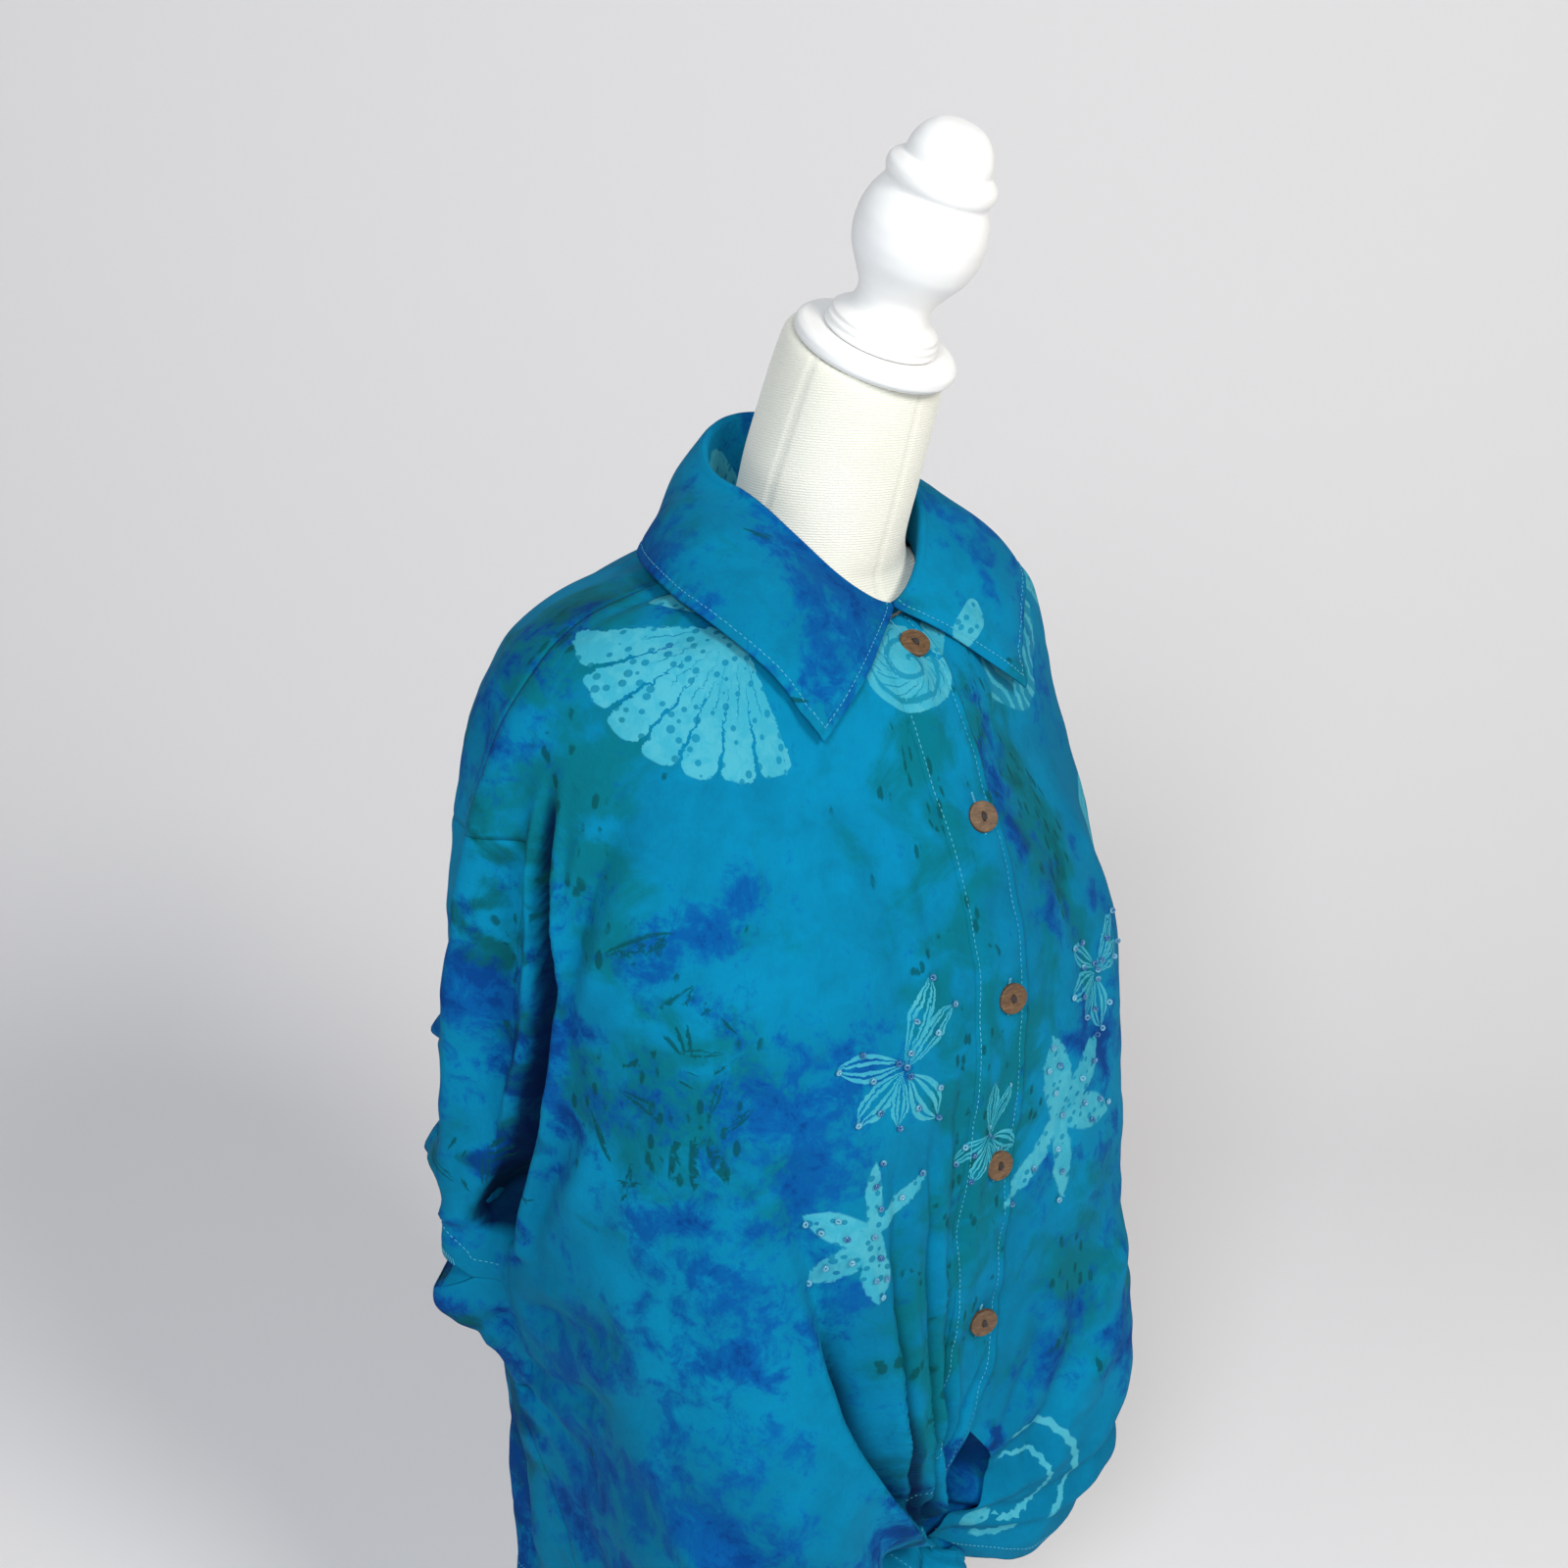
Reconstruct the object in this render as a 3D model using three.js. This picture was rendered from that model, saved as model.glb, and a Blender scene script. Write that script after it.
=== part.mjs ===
// An oversized button-front aloha shirt with dropped short sleeves and its front hems tied in a knot, worn by a
// limbless dress form on a short table stand. Millimetres, +Z up. The shirt faces -Y, and its wearer's left is +X.
// The origin is the middle of the stand's foot, where it meets the table.

import * as THREE from "three";

// ---------- driving dimensions ----------

const CLOTH = 1.6; // wall of the cotton, a little heavier than the real weave so that it is a solid
const SEAM_GAP = 0.3; // clear distance between two sewn pieces
const LIE_GAP = 0.9; // clear distance between a panel and what lies on it
const OVERLAP = 17; // each front runs this far past the line of buttons
const BAND_WIDTH = 44; // closing band, from its stitches to its free edge
const BUTTONS = 5;
const FIRST_BUTTON = 22; // neckline to the middle of the top button
const BUTTON_PITCH = 104;
const BUTTON_RADIUS = 9;
const BUTTON_THICK = 3.2;
const FOOT_RADIUS = 150;
const FOOT_THICK = 20;
const POLE_RADIUS = 16;
const TORSO_BOTTOM = 118;
const NECK_LEAN = 24; // degrees that the cut top of the neck leans forward
const NECK_TOP = { y: -34, z: 994 };

const DEG = Math.PI / 180;
const mix = (a, b, t) => a + (b - a) * t;
const ramp = (x, from, to) => {
  const t = Math.min(1, Math.max(0, (x - from) / (to - from)));
  return t * t * (3 - 2 * t);
};

// 1 at the middle, falling in a rounded way to 0 at half a width on each side.
function hump(x, middle, width) {
  const t = Math.abs(x - middle) / (width / 2);
  return t < 1 ? (Math.cos(Math.PI * t) + 1) / 2 : 0;
}

// A table is lines of numbers under named columns, each line with a name of its own.
function tableOf(columns, lines) {
  return lines.map(([name, ...values]) => ({ name, ...Object.fromEntries(columns.map((c, i) => [c, values[i]])) }));
}

// The row at a place between the lines of a table, on a smooth curve through them.
function rowAt(table, place) {
  const i = Math.min(Math.max(Math.floor(place), 0), table.length - 2);
  const t = place - i;
  const [a, b, c, d] = [i - 1, i, i + 1, i + 2].map((k) => table[Math.min(Math.max(k, 0), table.length - 1)]);
  const row = {};
  for (const key of Object.keys(b).filter((k) => k !== "name")) {
    const bend = 2 * a[key] - 5 * b[key] + 4 * c[key] - d[key];
    const twist = 3 * b[key] - a[key] - 3 * c[key] + d[key];
    row[key] = b[key] + 0.5 * t * (c[key] - a[key] + t * (bend + t * twist));
  }
  return row;
}

// ---------- shapes ----------

function geometryOf(triangles) {
  const position = new Float32Array(triangles.flatMap((t) => t.flatMap((p) => [p.x, p.y, p.z])));
  const geometry = new THREE.BufferGeometry().setAttribute("position", new THREE.BufferAttribute(position, 3));
  geometry.computeVertexNormals();
  return geometry;
}

// A closed solid through rings of points, each anticlockwise seen from its top, from the lowest to the highest.
function loft(rings) {
  const triangles = [];
  const count = rings[0].length;
  for (let i = 0; i + 1 < rings.length; i++)
    for (let j = 0; j < count; j++) {
      const k = (j + 1) % count;
      const [a, b, c, d] = [rings[i][j], rings[i][k], rings[i + 1][k], rings[i + 1][j]];
      triangles.push([a, b, c], [a, c, d]);
    }
  const middle = (ring) => ring.reduce((sum, p) => sum.add(p), new THREE.Vector3()).divideScalar(count);
  const [low, high] = [rings[0], rings[rings.length - 1]];
  const [under, over] = [middle(low), middle(high)];
  for (let j = 0; j < count; j++) {
    const k = (j + 1) % count;
    triangles.push([under, low[k], low[j]], [over, high[j], high[k]]);
  }
  return geometryOf(triangles);
}

// Unit normals of a grid of points. Rows go up and columns go anticlockwise, so the normals point outwards.
function normalsOf(grid) {
  return grid.map((row, i) =>
    row.map((_, j) => {
      const up = grid[Math.min(i + 1, grid.length - 1)][j].clone().sub(grid[Math.max(i - 1, 0)][j]);
      const along = row[Math.min(j + 1, row.length - 1)].clone().sub(row[Math.max(j - 1, 0)]);
      return along.cross(up).normalize();
    }),
  );
}

// A wall of cloth on the cells of a grid that keep(i, j) chooses, its edges trimmed back from the cells' own edges.
function wall(grid, keep = () => true) {
  const normals = normalsOf(grid);
  const [rows, columns] = [grid.length - 1, grid[0].length - 1];
  const kept = (i, j) => i >= 0 && j >= 0 && i < rows && j < columns && keep(i, j);
  const corner = (i, j) => {
    const inward = new THREE.Vector3();
    const around = [[i - 1, j - 1], [i - 1, j], [i, j - 1], [i, j]].filter(([a, b]) => kept(a, b));
    if (around.length < 4)
      for (const [a, b] of around)
        for (const [y, x] of [[a, b], [a + 1, b], [a, b + 1], [a + 1, b + 1]]) inward.add(grid[y][x]).sub(grid[i][j]);
    inward.addScaledVector(normals[i][j], -inward.dot(normals[i][j])).normalize();
    const outer = grid[i][j].clone().addScaledVector(inward, SEAM_GAP / 2);
    return [outer, outer.clone().addScaledVector(normals[i][j], -CLOTH)];
  };
  const corners = new Map();
  const at = (i, j, side) => {
    const key = i * (columns + 1) + j;
    if (!corners.has(key)) corners.set(key, corner(i, j));
    return corners.get(key)[side];
  };
  const triangles = [];
  const quad = (a, b, c, d) => triangles.push([a, b, c], [a, c, d]);
  for (let i = 0; i < rows; i++)
    for (let j = 0; j < columns; j++) {
      if (!kept(i, j)) continue;
      quad(at(i, j, 0), at(i, j + 1, 0), at(i + 1, j + 1, 0), at(i + 1, j, 0));
      quad(at(i, j, 1), at(i + 1, j, 1), at(i + 1, j + 1, 1), at(i, j + 1, 1));
      if (!kept(i - 1, j)) quad(at(i, j, 0), at(i, j, 1), at(i, j + 1, 1), at(i, j + 1, 0));
      if (!kept(i + 1, j)) quad(at(i + 1, j, 0), at(i + 1, j + 1, 0), at(i + 1, j + 1, 1), at(i + 1, j, 1));
      if (!kept(i, j - 1)) quad(at(i, j, 0), at(i + 1, j, 0), at(i + 1, j, 1), at(i, j, 1));
      if (!kept(i, j + 1)) quad(at(i, j + 1, 0), at(i, j + 1, 1), at(i + 1, j + 1, 1), at(i + 1, j + 1, 0));
    }
  return geometryOf(triangles);
}

const BACK_SQUARE = 2.15;

// Distance from a row's middle to its outline in the direction of an angle. Angle 0 is the middle of the front and
// 90 is the wearer's left. square is 2 on an ellipse, and more on a boxier outline.
function reach(row, angle) {
  const [side, ahead] = [Math.abs(Math.sin(angle * DEG)), Math.cos(angle * DEG)];
  const [depth, square] = ahead > 0 ? [row.front, row.square] : [row.back, BACK_SQUARE];
  return ((side / row.half) ** square + (Math.abs(ahead) / depth) ** square) ** (-1 / square);
}

// ---------- dress form ----------

const formTable = tableOf(
  ["z", "y", "half", "front", "back", "square", "lean"],
  [
    ["bottom", TORSO_BOTTOM, 22, 160, 106, 113, 2.1, 0],
    ["thigh", 160, 22, 169, 112, 120, 2.1, 0],
    ["hip", 235, 22, 172, 114, 123, 2.1, 0],
    ["high hip", 340, 20, 156, 110, 114, 2.1, 0],
    ["waist", 470, 14, 122, 100, 92, 2.1, 0],
    ["ribs", 570, 13, 134, 126, 98, 2.2, 0],
    ["bust", 655, 14, 152, 160, 106, 2.4, 0],
    ["chest", 740, 14, 166, 132, 112, 2.3, 0],
    ["shoulder", 800, 14, 186, 96, 98, 2.1, 0],
    ["slope", 846, 11, 168, 68, 80, 2, 1],
    ["neck root", 867, 6, 98, 52, 64, 2, 3],
    ["neck base", 886, 2, 57, 49, 54, 2, 8],
    ["neck", 932, -11, 51, 48, 55, 2, 15],
    ["neck top", NECK_TOP.z - 6, NECK_TOP.y + 3, 49, 42, 54, 2, NECK_LEAN],
    ["neck cut", NECK_TOP.z, NECK_TOP.y, 44, 38, 47, 2, NECK_LEAN],
  ],
);

function torsoGeometry() {
  const [sides, perRow] = [36, 2];
  const count = (formTable.length - 1) * perRow + 1;
  const ringAt = (place) => {
    const row = rowAt(formTable, place);
    const lean = new THREE.Euler(row.lean * DEG, 0, 0);
    return Array.from({ length: sides }, (_, j) => {
      const angle = (360 * j) / sides;
      const radius = reach(row, angle);
      const flat = new THREE.Vector3(radius * Math.sin(angle * DEG), -radius * Math.cos(angle * DEG), 0);
      return flat.applyEuler(lean).add(new THREE.Vector3(0, row.y, row.z));
    });
  };
  return loft(Array.from({ length: count }, (_, i) => ringAt(i / perRow)));
}

// Turned wood, from radius and height pairs that run up the outline.
function turned(profile, sides) {
  return new THREE.LatheGeometry(profile.map(([radius, height]) => new THREE.Vector2(radius, height)), sides).rotateX(
    Math.PI / 2,
  );
}

const PLATE = { radius: 48, thick: 11, round: 3 };
const plateProfile = [
  [0, 0], [PLATE.radius - PLATE.round, 0], [PLATE.radius, PLATE.round], [PLATE.radius, PLATE.thick - PLATE.round],
  [PLATE.radius - PLATE.round, PLATE.thick], [0, PLATE.thick],
];
const finialProfile = [
  [0, 0], [32.6, 0], [33.6, 2], [32, 4], [33, 6], [31, 8], [31.4, 10], [29, 12], [23.6, 15.4], [21.6, 21],
  [22.4, 27.4], [28, 36.6], [34.4, 46.6], [37.2, 57.6], [37.2, 68.6], [34.4, 78.6], [29.4, 88], [31.8, 92.4],
  [31.6, 98], [27, 102], [24.6, 103.4], [24, 109.8], [20.6, 117.6], [13.4, 124.4], [0, 127],
];
const FOOT_ROUND = 8;
const footProfile = [
  [0, 0], [FOOT_RADIUS, 0], [FOOT_RADIUS, FOOT_THICK - FOOT_ROUND],
  [FOOT_RADIUS - FOOT_ROUND, FOOT_THICK], [0, FOOT_THICK],
];
const FLANGE = { radius: 30, thick: 5, neck: 18 };
const poleLength = TORSO_BOTTOM - FOOT_THICK - 2 * SEAM_GAP;
const poleProfile = [
  [0, 0], [FLANGE.radius, 0], [FLANGE.radius, FLANGE.thick], [POLE_RADIUS + 2, FLANGE.neck - 6],
  [POLE_RADIUS, FLANGE.neck], [POLE_RADIUS, poleLength], [0, poleLength],
];

// ---------- shirt: one smooth surface that its pieces are cut from ----------

// Rings round the body, from the hem to the neckline. zFront, zSide and zBack are the ring's heights, and y its
// middle. belly swells both fronts beside the buttons and sag lowers them there. sleeve is how far each sleeve stands
// out at the side, and gape lifts its mouth. seam is the angle of the side seam and of the sleeve's outermost fold.
// line is the x of the line of buttons. left and right are the free edges of the fronts, from that line, and band is
// the width of the closing band.
const bodyTable = tableOf(
  ["zFront", "zSide", "zBack", "y", "half", "front", "back", "square", "belly", "sag", "sleeve", "gape", "seam", "line",
    "left", "right", "band"],
  [
    ["hem", 246, 212, 216, 16, 178, 130, 138, 2.3, 50, 26, 0, 0, 80, -16, 6, -6, 16],
    ["hip", 284, 262, 264, 16, 180, 148, 140, 2.5, 64, 15, 0, 0, 86, -15, 22, -12, 28],
    ["high hip", 330, 320, 326, 16, 184, 162, 141, 2.7, 58, 6, 0, 0, 95, -14, 22, -4, 40],
    ["underarm", 376, 372, 378, 15, 188, 170, 142, 2.8, 49, 0, 4, 0, 106, -13, -2, 10, BAND_WIDTH],
    ["pouch", 410, 412, 418, 14, 194, 172, 143, 2.8, 39, 0, 28, 0, 109, -13, -OVERLAP, OVERLAP, BAND_WIDTH],
    ["lip", 438, 440, 446, 14, 200, 173, 144, 2.8, 28, 0, 41, -6, 109, -12, -OVERLAP, OVERLAP, BAND_WIDTH],
    ["cuff", 464, 468, 478, 14, 205, 174, 144, 2.8, 22, 0, 32, 5, 108, -12, -OVERLAP, OVERLAP, BAND_WIDTH],
    ["ribs", 545, 570, 576, 14, 208, 176, 142, 2.8, 12, 0, 31, 0, 106, -11, -OVERLAP, OVERLAP, BAND_WIDTH],
    ["bust", 620, 660, 660, 14, 210, 178, 142, 2.7, 1, 0, 28, 0, 103, -10, -OVERLAP, OVERLAP, BAND_WIDTH],
    ["drop", 680, 740, 728, 14, 212, 172, 142, 2, -6, 0, 22, 0, 99, -10, -OVERLAP, OVERLAP, BAND_WIDTH],
    ["chest", 730, 794, 780, 13, 212, 155, 138, 1.65, -13, 0, 13, 0, 95, -10, -OVERLAP, OVERLAP, BAND_WIDTH],
    ["tip", 766, 834, 822, 11, 204, 135, 124, 1.6, -15, 0, 4, 0, 92, -10, -OVERLAP, OVERLAP, BAND_WIDTH],
    ["shoulder", 799, 858, 856, 8, 176, 116, 102, 1.7, -13, 0, 0, 0, 92, -10, -OVERLAP, OVERLAP, BAND_WIDTH],
    ["slope", 828, 873, 884, 5, 122, 94, 78, 1.8, -5, 0, 0, 0, 92, -10, -OVERLAP, OVERLAP, BAND_WIDTH],
    ["neckline", 847, 884, 904, 2, 66, 64, 57, 2, 0, 0, 0, 0, 92, -10, -OVERLAP, OVERLAP, BAND_WIDTH],
  ],
);
const lineOf = (name) => bodyTable.findIndex((row) => row.name === name);

const ARMHOLE = { ahead: 8, behind: 40 }; // angles from a sleeve's outermost fold to its seams

// Grooves in the cloth that run to the knot: angles and heights of both ends, breadth in degrees and depth. They
// gather as they fall, to NARROWED of their breadth.
const NARROWED = 0.45;
const folds = tableOf(
  ["fromAngle", "fromZ", "toAngle", "toZ", "breadth", "depth"],
  [
    ["right long", -42, 520, -10, 250, 24, 10],
    ["right low", -66, 400, -22, 246, 26, 9],
    ["left long", 38, 500, 12, 250, 24, 10],
    ["left low", 62, 380, 22, 246, 26, 9],
  ],
);

function foldDepth(angle, z) {
  let depth = 0;
  for (const fold of folds) {
    const t = (fold.fromZ - z) / (fold.fromZ - fold.toZ);
    if (t <= 0) continue;
    const middle = mix(fold.fromAngle, fold.toAngle, Math.min(t, 1) ** 0.8);
    const breadth = fold.breadth * mix(1, NARROWED, Math.min(t, 1));
    depth += fold.depth * ramp(t, 0, 0.4) * hump(angle, middle, breadth);
  }
  return depth;
}

const BELLY = { middle: 44, width: 84 }; // angles from the middle of the front
const SAG = { middle: 36, width: 64 };
const CREASE = { ahead: 2, width: 14, share: 0.5 }; // the dent between a front and its sleeve

// A point of the shirt's outer surface at an angle from -180 to 180.
function ringPoint(row, angle) {
  const size = Math.abs(angle);
  const [side, ahead] = [Math.sin(angle * DEG), Math.cos(angle * DEG)];
  const near = ahead > 0 ? row.zFront : row.zBack;
  const behind = Math.min(1, Math.max(0, (size - row.seam) / ARMHOLE.behind));
  const standOut = ramp(size, row.seam - ARMHOLE.ahead, row.seam) * (1 - behind) ** 1.5;
  const crease = CREASE.share * row.sleeve * hump(size, row.seam - ARMHOLE.ahead - CREASE.ahead, CREASE.width);
  const belly = row.belly * hump(size, BELLY.middle, BELLY.width);
  const sag = row.sag * hump(size, SAG.middle, SAG.width);
  const z = mix(row.zSide, near, ahead * ahead) + row.gape * standOut - sag;
  const radius = reach(row, angle) + row.sleeve * standOut + belly - crease - foldDepth(angle, z);
  return new THREE.Vector3(radius * side + row.line * Math.max(0, ahead), row.y - radius * ahead, z);
}

// The angle at which a row passes a given x beside the line of buttons.
function angleAt(row, x) {
  let angle = 0;
  for (let pass = 0; pass < 12; pass++) {
    const p = ringPoint(row, angle);
    angle += (x - p.x) / (row.front * DEG);
  }
  return angle;
}

const SIDE = 92;
const SECTOR = [12, 19, 27, 35, 43, 51, 59, 66, 72, 78, SIDE - ARMHOLE.ahead, 88, SIDE, 98, 105, 113, 122,
  SIDE + ARMHOLE.behind, 142, 152, 162, 171, 180];
const EDGE_COLUMNS = 3; // narrow columns beside the closing, before those of SECTOR
const BESIDE_STITCHES = 7.5; // their width beside the closing band's stitches

// The angles of a row's points, from the left front's free edge round the back to the closing band's stitches.
function anglesOf(row) {
  const half = (edges, sign) => [
    ...edges,
    ...SECTOR.map((nominal) => {
      const start = Math.max(Math.abs(edges[EDGE_COLUMNS - 1]) + 3, SECTOR[0]);
      if (nominal > SIDE) return sign * mix(row.seam, 180, (nominal - SIDE) / (180 - SIDE));
      return sign * mix(start, row.seam, (nominal - SECTOR[0]) / (SIDE - SECTOR[0]));
    }),
  ];
  const [edge, stitches] = [row.line + row.left, row.line + row.right - row.band];
  const steps = Array.from({ length: EDGE_COLUMNS }, (_, i) => i);
  const left = half(steps.map((step) => angleAt(row, edge + step * OVERLAP)), 1);
  const right = half(steps.map((step) => angleAt(row, stitches - step * BESIDE_STITCHES)), -1);
  return [...left, ...right.reverse().slice(1)];
}

const PER_LINE = 2;
const ROWS = (bodyTable.length - 1) * PER_LINE;
const bodyRows = Array.from({ length: ROWS + 1 }, (_, i) => rowAt(bodyTable, i / PER_LINE));
const bodyGrid = bodyRows.map((row) => anglesOf(row).map((angle) => ringPoint(row, angle)));
const COLUMNS = bodyGrid[0].length - 1;

const columnAt = (nominal) => EDGE_COLUMNS + SECTOR.indexOf(nominal);
const rowOf = (name) => lineOf(name) * PER_LINE;

// Which piece a cell belongs to.
function pieceOf(i, j) {
  const left = j < columnAt(180);
  const column = left ? j : COLUMNS - 1 - j;
  const side = left ? "left" : "right";
  const [front, back] = [columnAt(SIDE - ARMHOLE.ahead), columnAt(SIDE + ARMHOLE.behind)];
  const atSleeve = i >= rowOf("underarm") && i < rowOf("drop") && column >= front && column < back;
  const atMouth = i >= rowOf("lip") && i < rowOf("cuff") && column >= front + 1 && column < back - 1;
  if (atMouth) return "open";
  if (atSleeve) return `sleeve_${side}`;
  return column < columnAt(SIDE) ? `front_${side}` : "back";
}

// ---------- closing band, collar, buttons and knot ----------

const RAISED = CLOTH + LIE_GAP; // from a panel's outer face to the outer face of the cloth that lies on it

// The band is level with the front at its stitches, and then lies on the other front.
const BAND_STEPS = [
  { across: 0, raised: 0 },
  { across: 0.2, raised: RAISED },
  { across: 0.6, raised: RAISED },
  { across: 1, raised: RAISED },
];
const bandBase = bodyRows.map((row) =>
  BAND_STEPS.map(({ across }) => {
    const x = row.line + row.right - row.band * (1 - across);
    return ringPoint(row, angleAt(row, x));
  }),
);
const bandNormals = normalsOf(bandBase);
const bandGrid = bandBase.map((row, i) =>
  row.map((p, j) => p.clone().addScaledVector(bandNormals[i][j], BAND_STEPS[j].raised)),
);

// Sections of the collar from the middle of the front to the middle of the back, at angles of the neckline. seat
// lifts its seam off the neckline, rise and lean place its roll, and place and swing say where its edge lies on the
// body, as a place in the body's table and an angle. lift is the edge's height off the body and puff the fall's bulge.
const collarTable = tableOf(
  ["angle", "seat", "rise", "lean", "place", "swing", "lift", "puff"],
  [
    ["end", 2, 3.6, 7, 0, 11.0, 41.5, 7, 6],
    ["wing 1", 11, 3.6, 9, 0, 11.2, 46, 7, 8],
    ["wing 2", 22, 3.6, 12, 0, 11.45, 50, 7, 9],
    ["wing 3", 34, 2.6, 16, 0, 11.8, 57, 7, 9],
    ["wing 4", 47, 1.4, 21, 0, 12.15, 66, 7, 9],
    ["front side", 61, 0.8, 26, 1, 12.5, 76, 7, 9],
    ["neck side", 76, 0.8, 31, 2, 12.8, 86, 6, 8],
    ["seam", 92, 0.8, 35, 2, 13.0, 97, 6, 7],
    ["back side 1", 108, 0.8, 38, 3, 13.1, 110, 6, 6],
    ["back side 2", 125, 0.8, 41, 3, 13.15, 126, 6, 5],
    ["back side 3", 143, 0.8, 43, 4, 13.2, 143, 6, 5],
    ["back side 4", 161, 0.8, 44, 4, 13.2, 161, 6, 5],
    ["middle", 180, 0.8, 44, 4, 13.2, 180, 6, 5],
  ],
);
const ROLL = 2.6; // half the thickness of the hollow inside the collar's roll

function bodyNormal(place, angle) {
  const at = (p, a) => ringPoint(rowAt(bodyTable, p), a);
  const along = at(place, angle + 1).sub(at(place, angle - 1));
  const up = at(place + 0.05, angle).sub(at(place - 0.05, angle));
  return along.cross(up).normalize();
}

// One section of the collar, from its seam up the stand, over the roll and down the fall.
function collarSection(section, sign) {
  const angle = sign * section.angle;
  const outward = new THREE.Vector3(Math.sin(angle * DEG), -Math.cos(angle * DEG), 0);
  const seam = ringPoint(bodyRows[ROWS], angle);
  const above = (out, up) => seam.clone().addScaledVector(outward, out).add(new THREE.Vector3(0, 0, up));
  const top = section.seat + section.rise;
  const swing = sign * section.swing;
  const edge = ringPoint(rowAt(bodyTable, section.place), swing);
  const normal = bodyNormal(section.place, swing);
  edge.addScaledVector(normal, section.lift);
  const fallTop = above(section.lean + 2 * ROLL, top - ROLL);
  const fall = [0.25, 0.5, 0.75, 1].map((t) => {
    const bulge = section.puff * 4 * t * (1 - t);
    return fallTop.clone().lerp(edge, t).addScaledVector(normal, bulge);
  });
  return [above(0, section.seat), above(section.lean, top - ROLL), above(section.lean + ROLL, top), fallTop, ...fall];
}
const collarSections = [
  ...collarTable.map((section) => collarSection(section, 1)),
  ...collarTable.slice(0, -1).reverse().map((section) => collarSection(section, -1)),
];
const collarGrid = collarSections[0].map((_, i) => collarSections.map((section) => section[i]));

// Points down the line of buttons on the band, with the way that the cloth faces there.
function buttonPlaces() {
  const line = bodyRows.map((row) => ringPoint(row, angleAt(row, row.line))).reverse();
  const places = [];
  let walked = 0;
  for (let i = 0; i + 1 < line.length && places.length < BUTTONS; i++) {
    const step = line[i + 1].clone().sub(line[i]);
    const next = FIRST_BUTTON + BUTTON_PITCH * places.length;
    if (walked + step.length() >= next) {
      const facing = new THREE.Vector3(0, step.z, -step.y).normalize();
      places.push({ point: line[i].clone().addScaledVector(step, (next - walked) / step.length()), facing });
    }
    walked += step.length();
  }
  return places;
}

const HOLE = { radius: 1.1, middle: 1.9 };

function buttonGeometry() {
  const disc = new THREE.Shape().absarc(0, 0, BUTTON_RADIUS, 0, 2 * Math.PI);
  for (const middle of [-HOLE.middle, HOLE.middle])
    disc.holes.push(new THREE.Path().absarc(0, middle, HOLE.radius, 0, 2 * Math.PI, true));
  return new THREE.ExtrudeGeometry(disc, { depth: BUTTON_THICK, bevelEnabled: false, curveSegments: 10 });
}

// The knot is a wrapped roll of both hems, its axis tipped to one side, and a tail of each hem hangs out of it.
const KNOT = { x: -16, y: -143, z: 257, tip: 24, flat: 0.8 };
const knotProfile = [
  [0, -19], [11, -19], [19, -14], [23, -5], [23, 5], [19, 13], [11, 18], [0, 18],
];
// Places of their tops are from the knot's middle. drift is how far each strays sideways, and turn how it twists.
const tails = tableOf(
  ["x", "y", "z", "drift", "length", "width", "turn"],
  [
    ["tail_left", 12, 0, -21.8, 26, 92, 26, 6],
    ["tail_right", -9, -1, -20.7, -22, 104, 27, -8],
  ],
);

const TAIL = { top: 6, forward: 8, wave: [2, 7], point: 0.28 }; // half width at the knot, and what shapes its end

function tailGrid(tail) {
  const [down, across] = [6, 8];
  return Array.from({ length: down + 1 }, (_, i) =>
    Array.from({ length: across + 1 }, (_, j) => {
      const t = 1 - i / down;
      const u = (2 * j) / across - 1;
      const half = mix(TAIL.top, tail.width, t ** 0.8);
      const wave = Math.sin(u * 2 * Math.PI + tail.turn) * mix(...TAIL.wave, t);
      return new THREE.Vector3(
        KNOT.x + tail.x + tail.drift * t + half * u,
        KNOT.y + tail.y + TAIL.forward * t + wave + tail.turn * u * t,
        KNOT.z + tail.z - tail.length * t * (1 - TAIL.point * Math.abs(u)),
      );
    }),
  );
}

// ---------- the model ----------

const shirt = new THREE.MeshStandardMaterial({ color: 0x1393c4, roughness: 0.85, metalness: 0 });
const jersey = new THREE.MeshStandardMaterial({ color: 0xe9e8d8, roughness: 0.95, metalness: 0 });
const paint = new THREE.MeshStandardMaterial({ color: 0xf2f0ec, roughness: 0.5, metalness: 0 });
const wood = new THREE.MeshStandardMaterial({ color: 0x8a5c3c, roughness: 0.6, metalness: 0 });

const group = new THREE.Group();
function add(name, geometry, material, parent = group) {
  const mesh = new THREE.Mesh(geometry, material.clone());
  mesh.name = name;
  parent.add(mesh);
  return mesh;
}

add("stand_foot", turned(footProfile, 48), paint);
add("stand_pole", turned(poleProfile, 24), paint).position.z = FOOT_THICK + SEAM_GAP;
add("form_torso", torsoGeometry(), jersey);

const neckTop = new THREE.Group();
neckTop.position.set(0, NECK_TOP.y, NECK_TOP.z);
neckTop.rotation.x = NECK_LEAN * DEG;
group.add(neckTop);
add("neck_plate", turned(plateProfile, 40), paint, neckTop).position.z = SEAM_GAP;
add("neck_finial", turned(finialProfile, 32), paint, neckTop).position.z = PLATE.thick + 2 * SEAM_GAP;

for (const name of ["front_left", "front_right", "back", "sleeve_left", "sleeve_right"])
  add(name, wall(bodyGrid, (i, j) => pieceOf(i, j) === name), shirt);
add("front_band_right", wall(bandGrid), shirt);
add("collar", wall(collarGrid), shirt);

buttonPlaces().forEach(({ point, facing }, i) => {
  const button = add(`button_${i + 1}`, buttonGeometry(), wood);
  button.position.copy(point).addScaledVector(facing, RAISED + 2 * SEAM_GAP);
  button.quaternion.setFromUnitVectors(new THREE.Vector3(0, 0, 1), facing);
});

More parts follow.
